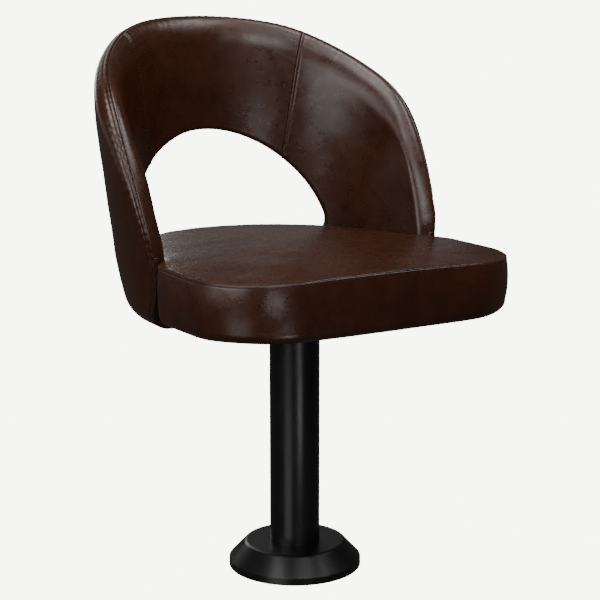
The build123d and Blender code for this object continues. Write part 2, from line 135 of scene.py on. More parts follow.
SEAT_SINK = 3.8               # the cushion sinks by this much between the arms
SEAT_SINK_HALF_WIDTH = 215.0
SEAT_SINK_Y = (-30.0, 90.0)
SEAT_ROLL = 13.0              # the top panel rolls over into its seam within this
SEAT_SEAM_PROUD = 0.6
SEAT_FREE = (-20.0, 60.0)     # the border bellies out in front of this y, fully after this length
SEAT_CORNER = (215.0, 60.0)   # place and reach of the front corners, whose bottoms are lifted
SEAT_CORNER_LIFT = 2.0

# spacing of the points across edges and seams, finest where the leather bends most
HOLE_TURNS = np.radians([0, 6, 12, 18, 25, 33, 42, 52, 63, 76, 90])
OUTER_HOLE_STEPS = [1.2, 2.6, 4.2, 6.0, 8.0, 10.5, 13.5]
OUTER_RIM_STEPS = [18, 15, 12.5, 10, 8, 6, 4.2, 2.6, 1.2]
INNER_RIM_STEPS = [1.5, 3.2, 5.2, 7.6, 10.5]
INNER_HOLE_STEPS = [1.2, 2.6, 4.2, 6.0, 8.0]
SEAM_STEPS = [0, 0.5, 1.0, 1.6, 2.3, 3.1, 4.0, 5.0, 6.1, 7.4, 9.0, 11.0, 13.5]
PANEL_END_STEPS = [0, 4, 8]
TOP_EDGE_STEPS = [0, 0.5, 1.0, 1.6, 2.4, 3.4, 4.6, 6, 7.6, 9.4, 11.5, 14, 17, 21]
BORDER_EDGE_STEPS = [0, 0.4, 0.9, 1.5, 2.2, 3.0, 3.9, 4.9, 6.0, 7.5, 9.5]
ROW_PITCH = 4.0               # rows of an inner panel are taken to lie this far apart

# lips of the outer cover: (radius, distance from the sill's edge), (share of thickness, way back)
SILL_LIP = [
    (HOLE_SEAM_R + 1, 1.2), (HOLE_SEAM_R - 0.5, 0.2), (241.0, -0.1), (238.0, -0.3), (235.0, -0.2),
    (232.4, 0.5), (230.6, 1.8), (229.6, 3.6), (229.2, 6.0), (229.0, 12.0), (229.0, 24.0),
]
SILL_LIP_TOP_Z = 478.0
ARM_LIP = [
    (0.0, 0.0), (0.06, -0.5), (0.2, -1.0), (0.4, -1.2), (0.6, -0.9), (0.78, 0.0), (0.9, 1.3),
    (0.98, 3.2), (1.0, 6.0), (1.0, 11.0), (1.0, 18.0),
]
ARM_LIP_Z = (500.0, FOOT_CENTRE[1] - FOOT_R + 1.5)
ARM_LIP_LOW_R = 190.0
ARM_LIP_THICK = (3.0, 14.0)

# seams as soft ridges and grooves across the leather: height, distance from the seam and width
RIM_SEAM = [(-1.0, 0, 0.8)]
INNER_HOLE_SEAM = [(-1.2, 0, 0.9), (0.4, 2.6, 1.8)]
PLAIN_SEAM = [(-0.9, 0, 0.7)]
FELLED_SEAM = PLAIN_SEAM + [(0.8, 2.9, 2.0), (-0.6, FELL_INSET, 0.9)]
BORDER_SEAM = [(-1.1, 0, 0.8), (0.15, 1.8, 1.0), (-0.35, SEAT_STITCH_INSET, 0.7)]

# padding pulled on by hand: height, size and noise seed of its slow hills and of its fine ones,
# then how far from a seam the slow ones start and the length they grow over
PADDING = {
    "outer": ((0.55, 62, 3.1), (0.22, 23, 9.4), (8, 30)),
    "inner": ((0.8, 55, 5.7), (0.25, 21, 1.9), (6, 30)),
    "seat_top": ((1.1, 75, 2.3), (0.4, 26, 7.7), (10, 60)),
    "seat_border": ((0.7, 48, 4.4), (0.25, 19, 8.1), (6, 30)),
}

# ------------------------------------------------------------------ studio, in metres and degrees
CAMERA_BEARING = 32.0         # left of the front, seen from the column
CAMERA_REACH = 2.210
CAMERA_HEIGHT = 0.832
CAMERA_DIP = 10.74
CAMERA_TURN = 32.21
CAMERA_LENS = 90.0            # on a film 36 mm wide
FLOOR_SIZE = 14
LIGHTS_AIM_Z = 0.5
BACKDROP = (0.985, 1.0, 0.905)   # a linear colour
BACKDROP_LEVEL = 7.7          # blown out to the even pale grey of the backdrop
ROOM_LIGHT = 0.07
STUDIO_LIGHTS = [   # name, degrees right of the front, rise, distance, width and height in m, W
    ("top_soft", 0, 88, 2.6, 1.3, 0.8, 27),
    ("top_front_soft", -10, 62, 2.6, 1.4, 1.0, 10),
    ("front_soft", -10, 35, 2.6, 1.3, 0.8, 17),
    ("left_top_soft", -72, 62, 2.6, 1.3, 0.8, 24),
    ("right_top_soft", 60, 55, 2.6, 1.3, 0.8, 19),
    ("left_wall", -77, 17, 2.6, 2.2, 1.4, 35),
    ("left_rear_low", -132, 5, 2.6, 2.2, 0.35, 1.6),
    ("rear_far_low", -165, 8, 2.6, 1.3, 0.5, 0.7),
    ("low_front_seat", -15, -6, 2.6, 0.7, 0.3, 5),
    ("low_front_column", -8, -31.6, 0.82, 0.16, 0.12, 0.32),
    ("low_left", -62, -26, 2.6, 1.2, 0.6, 4),
    ("floor_bounce", 0, -50, 2.6, 1.3, 0.8, 0.5),
    ("rear_soft", 180, 35, 2.6, 1.3, 0.8, 4.2),
    ("rear_low", 175, 12, 2.6, 1.3, 0.5, 6.5),
    ("rear_right_low", 148, 10, 2.6, 1.2, 0.5, 0.4),
]


# ------------------------------------------------------------------ drawing helpers
def arc_points(start, end, heading, step=2.0):
    """Points of the arc that leaves start along heading, in radians, and its last heading."""
    chord = math.hypot(end[0] - start[0], end[1] - start[1])
    direction = math.atan2(end[1] - start[1], end[0] - start[0])
    half = (direction - heading + math.pi) % (2 * math.pi) - math.pi
    count = max(3, int(chord / step))
    if abs(half) < 1e-5:
        along = np.linspace(0, 1, count + 1)[1:, None]
        return np.array(start) + along * (np.array(end) - np.array(start)), heading
    radius = chord / (2 * math.sin(half))
    turn = heading + np.linspace(0, 2 * half, count + 1)[1:]
    x = start[0] + radius * (np.sin(turn) - math.sin(heading))
    y = start[1] - radius * (np.cos(turn) - math.cos(heading))
    return np.c_[x, y], heading + 2 * half


def chain(points, heading):
    """Points of a chain of arcs that run smoothly into one another."""
    parts = [np.array([points[0]])]
    for start, end in zip(points, points[1:]):
        part, heading = arc_points(start, end, heading)
        parts.append(part)
    return np.vstack(parts)


def lengths(line):
    """Running length along a polyline."""
    return np.r_[0, np.cumsum(np.linalg.norm(np.diff(line, axis=0), axis=1))]


def resampled(line, count):
    """The polyline again, with evenly spaced points."""
    run = lengths(line)
    at = np.linspace(0, run[-1], count)
    return np.stack([np.interp(at, run, line[:, k]) for k in range(line.shape[1])], axis=1)


def unit(vectors):
    """The same directions, one long."""
    return vectors / np.linalg.norm(vectors, axis=1, keepdims=True)


def full_loop(half):
    """Closed line from its right half, which runs from the middle of one side to the other's."""
    return np.vstack([half, (half * (-1, 1))[-2:0:-1]])


def softened(line, weight, times):
    """Closed line smoothed where weight is high."""
    for _ in range(times):
        mean = (np.roll(line, 1, axis=0) + 2 * line + np.roll(line, -1, axis=0)) / 4
        line = line + (mean - line) * weight[:, None]
    return line


def roll(distance, reach, depth):
    """How far a skin drops as it rolls over an edge: a quarter of an ellipse."""
    q = np.clip(1 - distance / reach, 0, 1)
    return depth * (1 - np.sqrt(1 - q ** 2))


def bump(distance, centre, width):
    """A soft ridge across a line, as high as 1."""
    return np.exp(-((distance - centre) / width) ** 2)


def step_in(distance, start, width):
    """0 before start, 1 after start + width, smooth between."""
    t = np.clip((distance - start) / width, 0, 1)
    return t * t * (3 - 2 * t)


def spaced(length, near, far, middle):
    """Fractions along a line: fine steps of given sizes at both ends, even steps between."""
    near = np.asarray(near, float)
    far = np.asarray(far, float)
    inside = np.linspace(near[-1], length - far[-1], middle + 1)[1:-1]
    return np.r_[near, inside, length - far[::-1]] / length


# ------------------------------------------------------------------ the bucket's lines
RIM = chain(RIM_LINE, math.radians(RIM_START_ANGLE))


def rim_y(z):
    """Where the bucket's front edge is at a height."""
    return np.interp(z, RIM[:, 1], RIM[:, 0])


def outer_profile():
    """The outer face as (r, z) points, from the hem under the shell to the top."""
    lean = math.radians(FOOT_LEAN)
    bottom = (FOOT_CENTRE[0], FOOT_CENTRE[1] - FOOT_R)
    foot_end = (FOOT_CENTRE[0] + FOOT_R * math.cos(lean), FOOT_CENTRE[1] - FOOT_R * math.sin(lean))
    hem = np.array([(HEM_R, bottom[1]), bottom])
    foot, _ = arc_points(bottom, foot_end, 0.0)
    low, _ = arc_points(foot_end, OUTER_LOWER, math.pi / 2 - lean)
    high, _ = arc_points(OUTER_WIDEST, OUTER_UPPER, -math.pi / 2)
    top = (OUTER_WIDEST[0], BUCKET_REACH_Z)
    rest = np.array([OUTER_UPPER] + list(high[::-1][1:]) + [OUTER_WIDEST, top])
    return resampled(np.vstack([hem, foot, low, rest]), 900)


def inner_profile():
    """The inner face as (r, z) points, from the sill to the top."""
    heading = math.atan2(INNER_EASE[1] - INNER_LOW[1], INNER_EASE[0] - INNER_LOW[0])
    upper, _ = arc_points(INNER_EASE, INNER_HIGH, heading)
    return np.vstack([np.array([INNER_LOW, INNER_EASE]), upper])


OUTER = outer_profile()
OUTER_RUN = lengths(OUTER)
OUTER_RISE = -unit(np.gradient(OUTER, axis=0))[:, 0]      # how much the outward normal points up
INNER = inner_profile()


def outer_r(z):
    """Radius of the outer face at a height above the hem."""
    return np.interp(z, OUTER[:, 1], OUTER[:, 0])


def run_at(z):
    """Length along the outer face from its hem to a height."""
    return np.interp(z, OUTER[:, 1], OUTER_RUN)


def inner_r(z):
    """Radius of the inner face at a height."""
    return np.interp(z, INNER[:, 1], INNER[:, 0])


def edge_r(z):
    """Radius of the rim's ridge at a height."""
    return np.minimum(EDGE_R, outer_r(z) - EDGE_PROUD)


def rim_edge(low, count=900):
    """Right half of the rim's ridge as (angle, z), from the top of the back down to a height."""
    upper = RIM[RIM[:, 1] > RIM_UPPER_Z]
    top = np.interp(AXIS_Y + EDGE_R, upper[:, 0], upper[:, 1])
    z = top - (top - low) * np.linspace(0, 1, count) ** 2
    ratio = np.clip((rim_y(z) - AXIS_Y) / edge_r(z), -1, 1)
    ratio[0] = 1.0
    return np.c_[np.arccos(ratio), z]


def cutout_edge():
    """Right half of the cut-out's edge in its front view, (x, z), from its top to the sill's middle."""
    corner_z = CUTOUT_SILL_Z + CUTOUT_CORNER_R
    reach = CUTOUT_R - CUTOUT_CORNER_R
    corner_x = math.sqrt(reach ** 2 - (corner_z - CUTOUT_Z) ** 2)
    start = math.atan2(corner_z - CUTOUT_Z, corner_x)
    turn = np.linspace(math.pi / 2, start, 160)
    line = np.c_[CUTOUT_R * np.cos(turn), CUTOUT_Z + CUTOUT_R * np.sin(turn)]
    turn = np.linspace(start, -math.pi / 2, 60)[1:]
    corner = np.c_[corner_x + CUTOUT_CORNER_R * np.cos(turn), corner_z + CUTOUT_CORNER_R * np.sin(turn)]
    sill = np.c_[np.linspace(corner_x, 0, 60)[1:], np.full(59, CUTOUT_SILL_Z)]
    return np.vstack([line, corner, sill])


def wall_angle(x):
    """Angle off the rear of the cut-out's radial wall, from a distance in its front view."""
    return np.arcsin(np.clip(x / CUTOUT_WALL_R, -1, 1))


def place(radius, angle, z):
    """Points in metres from radius, angle off the rear and height about the bucket's axis."""
    return np.stack([radius * np.sin(angle), AXIS_Y + radius * np.cos(angle), z], axis=-1) * MM


# ------------------------------------------------------------------ meshes
def grid_normals(grid, closed_cols=False):
    """Unit normals of a (rows, columns, 3) grid, by the right-hand rule of column then row."""
    if closed_cols:
        along = np.roll(grid, -1, axis=1) - np.roll(grid, 1, axis=1)
    else:
        along = np.gradient(grid, axis=1)
    across = np.gradient(grid, axis=0)
    normal = np.cross(along, across)
    size = np.linalg.norm(normal, axis=2, keepdims=True)
    return normal / np.maximum(size, 1e-12)


def unevenness(grid, scale, seed):
    """Slow hills and dips, -1 to 1, from a fixed noise at a scale in millimetres."""
    flat = grid.reshape(-1, 3) / (scale * MM)
    values = [noise.noise(Vector((p[0] + seed, p[1], p[2]))) for p in flat]
    return np.array(values).reshape(grid.shape[:2])


def padding(grid, clear, kind):
    """Relief of hand-fitted padding; clear is how far each point is from the nearest seam."""
    (high, size, seed), (fine_high, fine_size, fine_seed), (start, width) = PADDING[kind]
    slow = high * unevenness(grid, size, seed) * step_in(clear, start, width)
    return slow + fine_high * unevenness(grid, fine_size, fine_seed)


def ridges(run, seam):
    """Relief across a seam: the sum of its ridges and grooves."""
    return sum(height * bump(run, centre, width) for height, centre, width in seam)


def grid_faces(rows, cols, closed_cols=False):
    """Quads between neighbouring points of a grid, and each point's index."""
    index = np.arange(rows * cols).reshape(rows, cols)
    right = np.roll(index, -1, axis=1) if closed_cols else index[:, 1:]
    left = index if closed_cols else index[:, :-1]
    return np.stack([left[:-1], right[:-1], right[1:], left[1:]], axis=-1).reshape(-1, 4), index


def grid_object(name, grid, closed_cols=False, flip=False):
    """A quad mesh from a grid of points."""
    quads, _ = grid_faces(*grid.shape[:2], closed_cols)
    if flip:
        quads = quads[:, ::-1]
    return mesh_object(name, grid.reshape(-1, 3), quads.tolist())


def mesh_object(name, points, faces):
    """A smooth-shaded mesh object in the scene."""
    mesh = bpy.data.meshes.new(name)
    mesh.from_pydata([tuple(p) for p in np.asarray(points, float)], [], faces)
    mesh.validate()
    mesh.update()
    mesh.polygons.foreach_set("use_smooth", [True] * len(mesh.polygons))
    thing = bpy.data.objects.new(name, mesh)
    bpy.context.scene.collection.objects.link(thing)
    return thing


def finish_piece(thing, material, thickness=0.0):
    """Put a leather or thread piece on the seat, with the thickness of its backing inwards."""
    if thickness:
        solid = thing.modifiers.new("leather_thickness", "SOLIDIFY")
        solid.thickness = thickness * MM
        solid.offset = -1
    thing.data.materials.clear()
    thing.data.materials.append(material)
    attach(thing, "seat")


# ------------------------------------------------------------------ settings
def linear(code):
    """Linear colour from an sRGB hex value."""
    parts = [int(code[i:i + 2], 16) / 255 for i in (1, 3, 5)]
    return tuple(p / 12.92 if p <= 0.04045 else ((p + 0.055) / 1.055) ** 2.4 for p in parts)


class ArmchairSettings(bpy.types.PropertyGroup):
    """What a user would change about the armchair's looks."""

    leather_light: FloatVectorProperty(
        name="Leather, light", description="Dye where the hide took it thinly", subtype="COLOR",
        size=3, min=0, max=1, default=linear("#4d2511"))
    leather_dark: FloatVectorProperty(
        name="Leather, dark", description="Dye where the hide took it deeply", subtype="COLOR",
        size=3, min=0, max=1, default=linear("#2c1408"))
    thread_colour: FloatVectorProperty(
        name="Thread", description="Topstitching thread", subtype="COLOR",
        size=3, min=0, max=1, default=linear("#130a06"))
    powder_colour: FloatVectorProperty(
        name="Powder coat", description="Satin coat of the column and base cover", subtype="COLOR",
        size=3, min=0, max=1, default=linear("#0f0e0e"))
    grain_size: FloatProperty(
        name="Grain", description="Width of one pebble of the leather's grain", subtype="DISTANCE",
        unit="LENGTH", default=1.7 * MM, min=0.3 * MM, max=6 * MM)
    stitch_pitch: FloatProperty(
        name="Stitch pitch", description="From one stitch to the next", subtype="DISTANCE",
        unit="LENGTH", default=4.6 * MM, min=2 * MM, max=12 * MM)
    stitch_length: FloatProperty(
        name="Stitch length", description="Thread that shows in each stitch", subtype="DISTANCE",
        unit="LENGTH", default=3.2 * MM, min=1 * MM, max=10 * MM)
    thread_width: FloatProperty(
        name="Thread width", description="Diameter of the thread", subtype="DISTANCE",
        unit="LENGTH", default=0.8 * MM, min=0.2 * MM, max=2 * MM)
    topstitch_inset: FloatProperty(
        name="Topstitch inset", description="From a seam to its topstitching", subtype="DISTANCE",
        unit="LENGTH", default=7.0 * MM, min=2 * MM, max=15 * MM)
    seat_bulge: FloatProperty(
        name="Cushion bulge", description="How far the cushion's sides belly out", subtype="DISTANCE",
        unit="LENGTH", default=2.8 * MM, min=0, max=6 * MM)


def settings():
    """The armchair's own settings in the open scene."""
    return bpy.context.scene.armchair


# ------------------------------------------------------------------ nodes
def fill(tree, node, inputs):
    """Link or set a node's inputs."""
    for key, value in inputs.items():
        socket = node.inputs[key]
        if isinstance(value, bpy.types.NodeSocket):
            tree.links.new(value, socket)
        else:
            socket.default_value = value


def add_node(tree, kind, inputs=None, **settings_):
    """Add a node, set it up and link or fill its inputs."""
    node = tree.nodes.new(kind)
    for key, value in settings_.items():
        setattr(node, key, value)
    fill(tree, node, inputs or {})
    return node


def empty_tree(owner):
    """The node tree of a material or a world, cleared."""
    owner.use_nodes = True
    owner.node_tree.nodes.clear()
    return owner.node_tree


def new_material(name):
    """A material with its output, its shader and the object's own coordinates."""
    material = bpy.data.materials.new(name)
    tree = empty_tree(material)
    shader = add_node(tree, "ShaderNodeBsdfPrincipled")
    add_node(tree, "ShaderNodeOutputMaterial", {"Surface": shader.outputs[0]})
    coords = add_node(tree, "ShaderNodeTexCoord").outputs["Object"]
    return material, tree, shader, coords


def mottle(tree, shader, pattern, dark, light, gloss=None):
    """Let a pattern shift a finish between two linear colours, and between two roughnesses.

    gloss holds the pattern's low and high value, then the roughness at each."""
    shade = add_node(tree, "ShaderNodeMix", {"Factor": pattern, "A": (*dark, 1), "B": (*light, 1)},
                     data_type="RGBA")
    fill(tree, shader, {"Base Color": shade.outputs["Result"]})
    if gloss:
        rough = add_node(tree, "ShaderNodeMapRange", {0: pattern, **dict(enumerate(gloss, 1))})
        fill(tree, shader, {"Roughness": rough.outputs[0]})


def seen_by_camera(tree, seen, others):
    """One shader for what the camera sees directly and another for all other rays."""
    path = add_node(tree, "ShaderNodeLightPath")
    both = add_node(tree, "ShaderNodeMixShader", {0: path.outputs["Is Camera Ray"],
                                                  1: others.outputs[0], 2: seen.outputs[0]})
    return both.outputs[0]


# ------------------------------------------------------------------ materials
def leather_material():
    """Aniline-dyed, semi-gloss corrected hide: pebbled grain, cloudy dye, fine creases and a
    broad greyish shine where the finish turns towards the light."""
    own = settings()
    material, tree, shader, coords = new_material("leather_semi_gloss_dyed")
    clouds = add_node(tree, "ShaderNodeTexNoise", {"Vector": coords, "Scale": 11.0, "Detail": 5.0,
                                                   "Roughness": 0.62, "Distortion": 0.8})
    flecks = add_node(tree, "ShaderNodeTexNoise", {"Vector": coords, "Scale": 52.0, "Detail": 3.0,
                                                   "Roughness": 0.55})
    waves = add_node(tree, "ShaderNodeTexNoise", {"Vector": coords, "Scale": 34.0, "Detail": 6.0,
                                                  "Roughness": 0.58, "Distortion": 2.4})
    soft = add_node(tree, "ShaderNodeTexNoise", {"Vector": coords, "Scale": 60.0, "Detail": 3.0})
    cells = add_node(tree, "ShaderNodeTexVoronoi", {"Vector": coords, "Scale": 1 / own.grain_size,
                                                    "Randomness": 1.0}, feature="DISTANCE_TO_EDGE")
    grain = add_node(tree, "ShaderNodeMapRange", {0: cells.outputs["Distance"], 1: 0.0, 2: 0.16})
    ridge = add_node(tree, "ShaderNodeMath", {0: waves.outputs[0], 1: 0.5}, operation="SUBTRACT")
    ridge = add_node(tree, "ShaderNodeMath", {0: ridge.outputs[0]}, operation="ABSOLUTE")
    crease = add_node(tree, "ShaderNodeMapRange", {0: ridge.outputs[0], 1: 0.0, 2: 0.035})
    cloud = add_node(tree, "ShaderNodeMapRange", {0: clouds.outputs[0], 1: 0.34, 2: 0.68})
    fleck = add_node(tree, "ShaderNodeMapRange", {0: flecks.outputs[0], 1: 0.3, 2: 0.75})
    spread = add_node(tree, "ShaderNodeMath", {0: cloud.outputs[0], 1: 0.72}, operation="MULTIPLY")
    spread = add_node(tree, "ShaderNodeMath", {0: fleck.outputs[0], 1: 0.28, 2: spread.outputs[0]},
                      operation="MULTIPLY_ADD")
    dye = add_node(tree, "ShaderNodeMix", {"Factor": spread.outputs[0], "A": (*own.leather_dark, 1),
                                           "B": (*own.leather_light, 1)}, data_type="RGBA")
    pore = add_node(tree, "ShaderNodeMapRange", {0: grain.outputs[0], 1: 0.0, 2: 1.6})
    shade = add_node(tree, "ShaderNodeMix", {"Factor": pore.outputs[0], "A": (*own.leather_dark, 1),
                                             "B": dye.outputs["Result"]}, data_type="RGBA")
    rough = add_node(tree, "ShaderNodeMapRange", {0: flecks.outputs[0], 1: 0.25, 2: 0.75,
                                                  3: 0.24, 4: 0.34})
    relief = {}
    for strength, depth, height in ((0.2, 1.0, soft), (0.1, 0.4, crease), (0.15, 0.12, grain)):
        bumps = add_node(tree, "ShaderNodeBump", {"Strength": strength, "Distance": depth * MM,
                                                  "Height": height.outputs[0], **relief})
        relief = {"Normal": bumps.outputs[0]}
    fill(tree, shader, {"Base Color": shade.outputs["Result"], "Roughness": rough.outputs[0],
                        "IOR": 1.5, **relief})
    return material


def thread_material():
    """Bonded polyester thread: a fine twist and a waxy shine."""
    own = settings()
    material, tree, shader, coords = new_material("thread_bonded_polyester")
    # a real twist is about 0.5 mm long, drawn here at 1 mm so that it still shows
    twist = add_node(tree, "ShaderNodeTexNoise", {"Vector": coords, "Scale": 1000.0, "Detail": 1.0})
    mottle(tree, shader, twist.outputs[0], own.thread_colour, own.leather_dark)
    bumps = add_node(tree, "ShaderNodeBump", {"Strength": 0.4, "Distance": 0.1 * MM,
                                              "Height": twist.outputs[0]})
    fill(tree, shader, {"Normal": bumps.outputs[0], "Roughness": 0.5})
    return material


def powder_coat_material():
    """Satin black powder coat on steel: a very fine orange peel breaks up its soft highlight."""
    own = settings()
    material, tree, shader, coords = new_material("powder_coat_satin_black")
    # orange peel waves of about 1.5 mm
    peel = add_node(tree, "ShaderNodeTexNoise", {"Vector": coords, "Scale": 650.0, "Detail": 2.0})
    patch = add_node(tree, "ShaderNodeTexNoise", {"Vector": coords, "Scale": 30.0, "Detail": 3.0})
    paler = [c * 1.35 for c in own.powder_colour]
    mottle(tree, shader, patch.outputs[0], own.powder_colour, paler, (0.3, 0.7, 0.28, 0.34))
    bumps = add_node(tree, "ShaderNodeBump", {"Strength": 0.1, "Distance": 0.1 * MM,
                                              "Height": peel.outputs[0]})
    fill(tree, shader, {"Normal": bumps.outputs[0]})
    return material


def turned_steel_material():
    """Turned and ground mild steel: faint tool rings round its axis and a light oil film."""
    material, tree, shader, coords = new_material("steel_turned_oiled")
    # a feed of 0.2 mm a turn, drawn at 0.8 mm so that it shows
    rings = add_node(tree, "ShaderNodeTexWave", {"Vector": coords, "Scale": 390.0, "Distortion": 0.4},
                     bands_direction="Z")
    blotch = add_node(tree, "ShaderNodeTexNoise", {"Vector": coords, "Scale": 70.0, "Detail": 4.0})
    mottle(tree, shader, blotch.outputs[0], linear("#7e7d7a"), linear("#a7a6a2"), (0.3, 0.7, 0.24, 0.4))
    bumps = add_node(tree, "ShaderNodeBump", {"Strength": 0.15, "Distance": 0.03 * MM,
                                              "Height": rings.outputs["Fac"]})
    fill(tree, shader, {"Normal": bumps.outputs[0], "Metallic": 1.0})
    return material


def spring_steel_material():
    """Spring steel strip, phosphated: dark grey with a dry, slightly blotchy face."""
    material, tree, shader, coords = new_material("spring_steel_phosphated")
    blotch = add_node(tree, "ShaderNodeTexNoise", {"Vector": coords, "Scale": 240.0, "Detail": 4.0})
    mottle(tree, shader, blotch.outputs[0], linear("#2c2d2f"), linear("#46484a"))
    fill(tree, shader, {"Metallic": 0.8, "Roughness": 0.5})
    return material


def zinc_material():
    """Bright zinc plate on fasteners: pale, slightly blue, with patchy gloss from the bath."""
    material, tree, shader, coords = new_material("zinc_plated_bright")
    blotch = add_node(tree, "ShaderNodeTexVoronoi", {"Vector": coords, "Scale": 420.0})
    mottle(tree, shader, blotch.outputs["Distance"], linear("#a9adb0"), linear("#c6cacb"),
           (0.0, 0.7, 0.22, 0.38))
    fill(tree, shader, {"Metallic": 1.0})
    return material


def bush_material():
    """Moulded acetal: milky off-white, waxy, with a faint flow texture."""
    material, tree, shader, coords = new_material("acetal_moulded")
    flow = add_node(tree, "ShaderNodeTexNoise", {"Vector": coords, "Scale": 120.0, "Distortion": 1.0})
    mottle(tree, shader, flow.outputs[0], linear("#d9d5ca"), linear("#e8e5dc"))
    fill(tree, shader, {"Roughness": 0.36, "IOR": 1.48})
    return material


def plywood_material(name, dark, light, glue_lines):
    """Plywood, plain or stained: long grain on its faces, thin dark glue lines on a flat edge."""
    material, tree, shader, coords = new_material(name)
    stretched = add_node(tree, "ShaderNodeMapping", {"Vector": coords, "Scale": (6.0, 60.0, 60.0)})
    grain = add_node(tree, "ShaderNodeTexNoise", {"Vector": stretched.outputs[0], "Scale": 4.0,
                                                  "Detail": 6.0, "Distortion": 0.7})
    streak = add_node(tree, "ShaderNodeMapRange", {0: grain.outputs[0], 1: 0.3, 2: 0.7})
    shade = add_node(tree, "ShaderNodeMix", {"Factor": streak.outputs[0], "A": (*linear(dark), 1),
                                             "B": (*linear(light), 1)}, data_type="RGBA")
    if glue_lines:
        # veneers of 1.4 mm show as bands on the edge of a flat board
        plies = add_node(tree, "ShaderNodeTexWave", {"Vector": coords, "Scale": 112.0},
                         bands_direction="Z")
        glue = add_node(tree, "ShaderNodeMapRange", {0: plies.outputs["Fac"], 1: 0.02, 2: 0.2})
        shade = add_node(tree, "ShaderNodeMix", {"Factor": glue.outputs[0], "A": (*linear("#7c5634"), 1),
                                                 "B": shade.outputs["Result"]}, data_type="RGBA")
    bumps = add_node(tree, "ShaderNodeBump", {"Strength": 0.25, "Distance": 0.2 * MM,
                                              "Height": grain.outputs[0]})
    fill(tree, shader, {"Base Color": shade.outputs["Result"], "Normal": bumps.outputs[0],
                        "Roughness": 0.62})
    return material


def bottom_cloth_material():
    """Spun-bonded polypropylene under the cushion: black felt with a dimpled bond pattern."""
    material, tree, shader, coords = new_material("polypropylene_spun_bonded")
    # bond points 1.2 mm apart, drawn at 2 mm so that they show
    dots = add_node(tree, "ShaderNodeTexVoronoi", {"Vector": coords, "Scale": 500.0, "Randomness": 0.15})
    fibre = add_node(tree, "ShaderNodeTexNoise", {"Vector": coords, "Scale": 900.0, "Detail": 5.0})
    mottle(tree, shader, fibre.outputs[0], linear("#121212"), linear("#2c2b2a"))
    bumps = add_node(tree, "ShaderNodeBump", {"Strength": 0.5, "Distance": 0.2 * MM,
                                              "Height": dots.outputs["Distance"]})
    fill(tree, shader, {"Normal": bumps.outputs[0], "Roughness": 0.9})
    return material


def studio_sweep_material():
    """Studio sweep, lit until it is blown out: even, without a shadow or a horizon, and it lets
    the low lights through."""
    material = bpy.data.materials.new("studio_sweep_blown_out")
    tree = empty_tree(material)
    glow = add_node(tree, "ShaderNodeEmission", {"Color": (*BACKDROP, 1),
                                                 "Strength": BACKDROP_LEVEL})
    clear = add_node(tree, "ShaderNodeBsdfTransparent")
    add_node(tree, "ShaderNodeOutputMaterial", {"Surface": seen_by_camera(tree, glow, clear)})
    return material


MATERIALS = {
    "leather": leather_material,
    "thread": thread_material,
    "powder_coat": powder_coat_material,
    "turned_steel": turned_steel_material,
    "spring_steel": spring_steel_material,
    "zinc": zinc_material,
    "bush": bush_material,
    "seat_board": lambda: plywood_material("birch_plywood_sanded", "#b98f5f", "#dcbc8c", True),
    "shell": lambda: plywood_material("beech_plywood_bent_stained_black", "#0d0b0a", "#1b1714", False),
    "bottom_cloth": bottom_cloth_material,
    "sweep": studio_sweep_material,
}


@functools.cache
def shared_material(name):
    """A material by its name here, made once."""
    return MATERIALS[name]()


# ------------------------------------------------------------------ stitches
STITCH_SHAPE = ((-0.5, 0.25), (-0.38, 0.8), (0.0, 1.0), (0.38, 0.8), (0.5, 0.25))
STITCH_SIDES = 6


def stitch_points(line, normals, pitch, length, width):
    """Points and faces of a run of stitches: short capsules of thread, half sunk in the leather."""
    run = lengths(line)
    points, faces = [], []

    def at_length(values, at):
        return np.array([np.interp(at, run, values[:, k]) for k in range(3)])

    for centre in np.arange(pitch / 2, run[-1] - pitch / 2, pitch):
        a, b = at_length(line, centre - length / 2), at_length(line, centre + length / 2)
        up = at_length(normals, centre)
        up /= np.linalg.norm(up)
        along = (b - a) / np.linalg.norm(b - a)
        side = np.cross(up, along)
        first = len(points)
        for t, fat in STITCH_SHAPE:
            middle = (a + b) / 2 + along * length * t + up * width * (0.30 * fat - 0.12)
            for k in range(STITCH_SIDES):
                turn = 2 * math.pi * k / STITCH_SIDES
                points.append(middle + (side * math.cos(turn) + up * math.sin(turn)) * width / 2 * fat)
        for ring in range(len(STITCH_SHAPE) - 1):
            for k in range(STITCH_SIDES):
                p = first + ring * STITCH_SIDES + k
                q = first + ring * STITCH_SIDES + (k + 1) % STITCH_SIDES
                faces.append((p, q, q + STITCH_SIDES, p + STITCH_SIDES))
        last = first + (len(STITCH_SHAPE) - 1) * STITCH_SIDES
        faces.append([first + k for k in range(STITCH_SIDES)][::-1])
        faces.append([last + k for k in range(STITCH_SIDES)])
    return points, faces


def stitching(name, runs, material):
    """One object for all the stitches of some seams."""
    own = settings()
    points, faces = [], []
    for line, normals in runs:
        more, rings = stitch_points(line, normals, own.stitch_pitch, own.stitch_length, own.thread_width)
        faces += [[i + len(points) for i in ring] for ring in rings]
        points += more
    finish_piece(mesh_object(name, points, faces), material)


def row_at(grid, normals, run, at):
    """Line across a grid where the running length down each column reaches a value."""
    line, ups = [], []
    for c in range(grid.shape[1]):
        line.append([np.interp(at, run[:, c], grid[:, c, k]) for k in range(3)])
        ups.append([np.interp(at, run[:, c], normals[:, c, k]) for k in range(3)])
    return np.array(line), np.array(ups)


def column_runs(grid):
    """Length down each column from the first row, in millimetres."""
    step = np.linalg.norm(np.diff(grid, axis=0), axis=2) / MM
    return np.vstack([np.zeros((1, grid.shape[1])), np.cumsum(step, axis=0)])


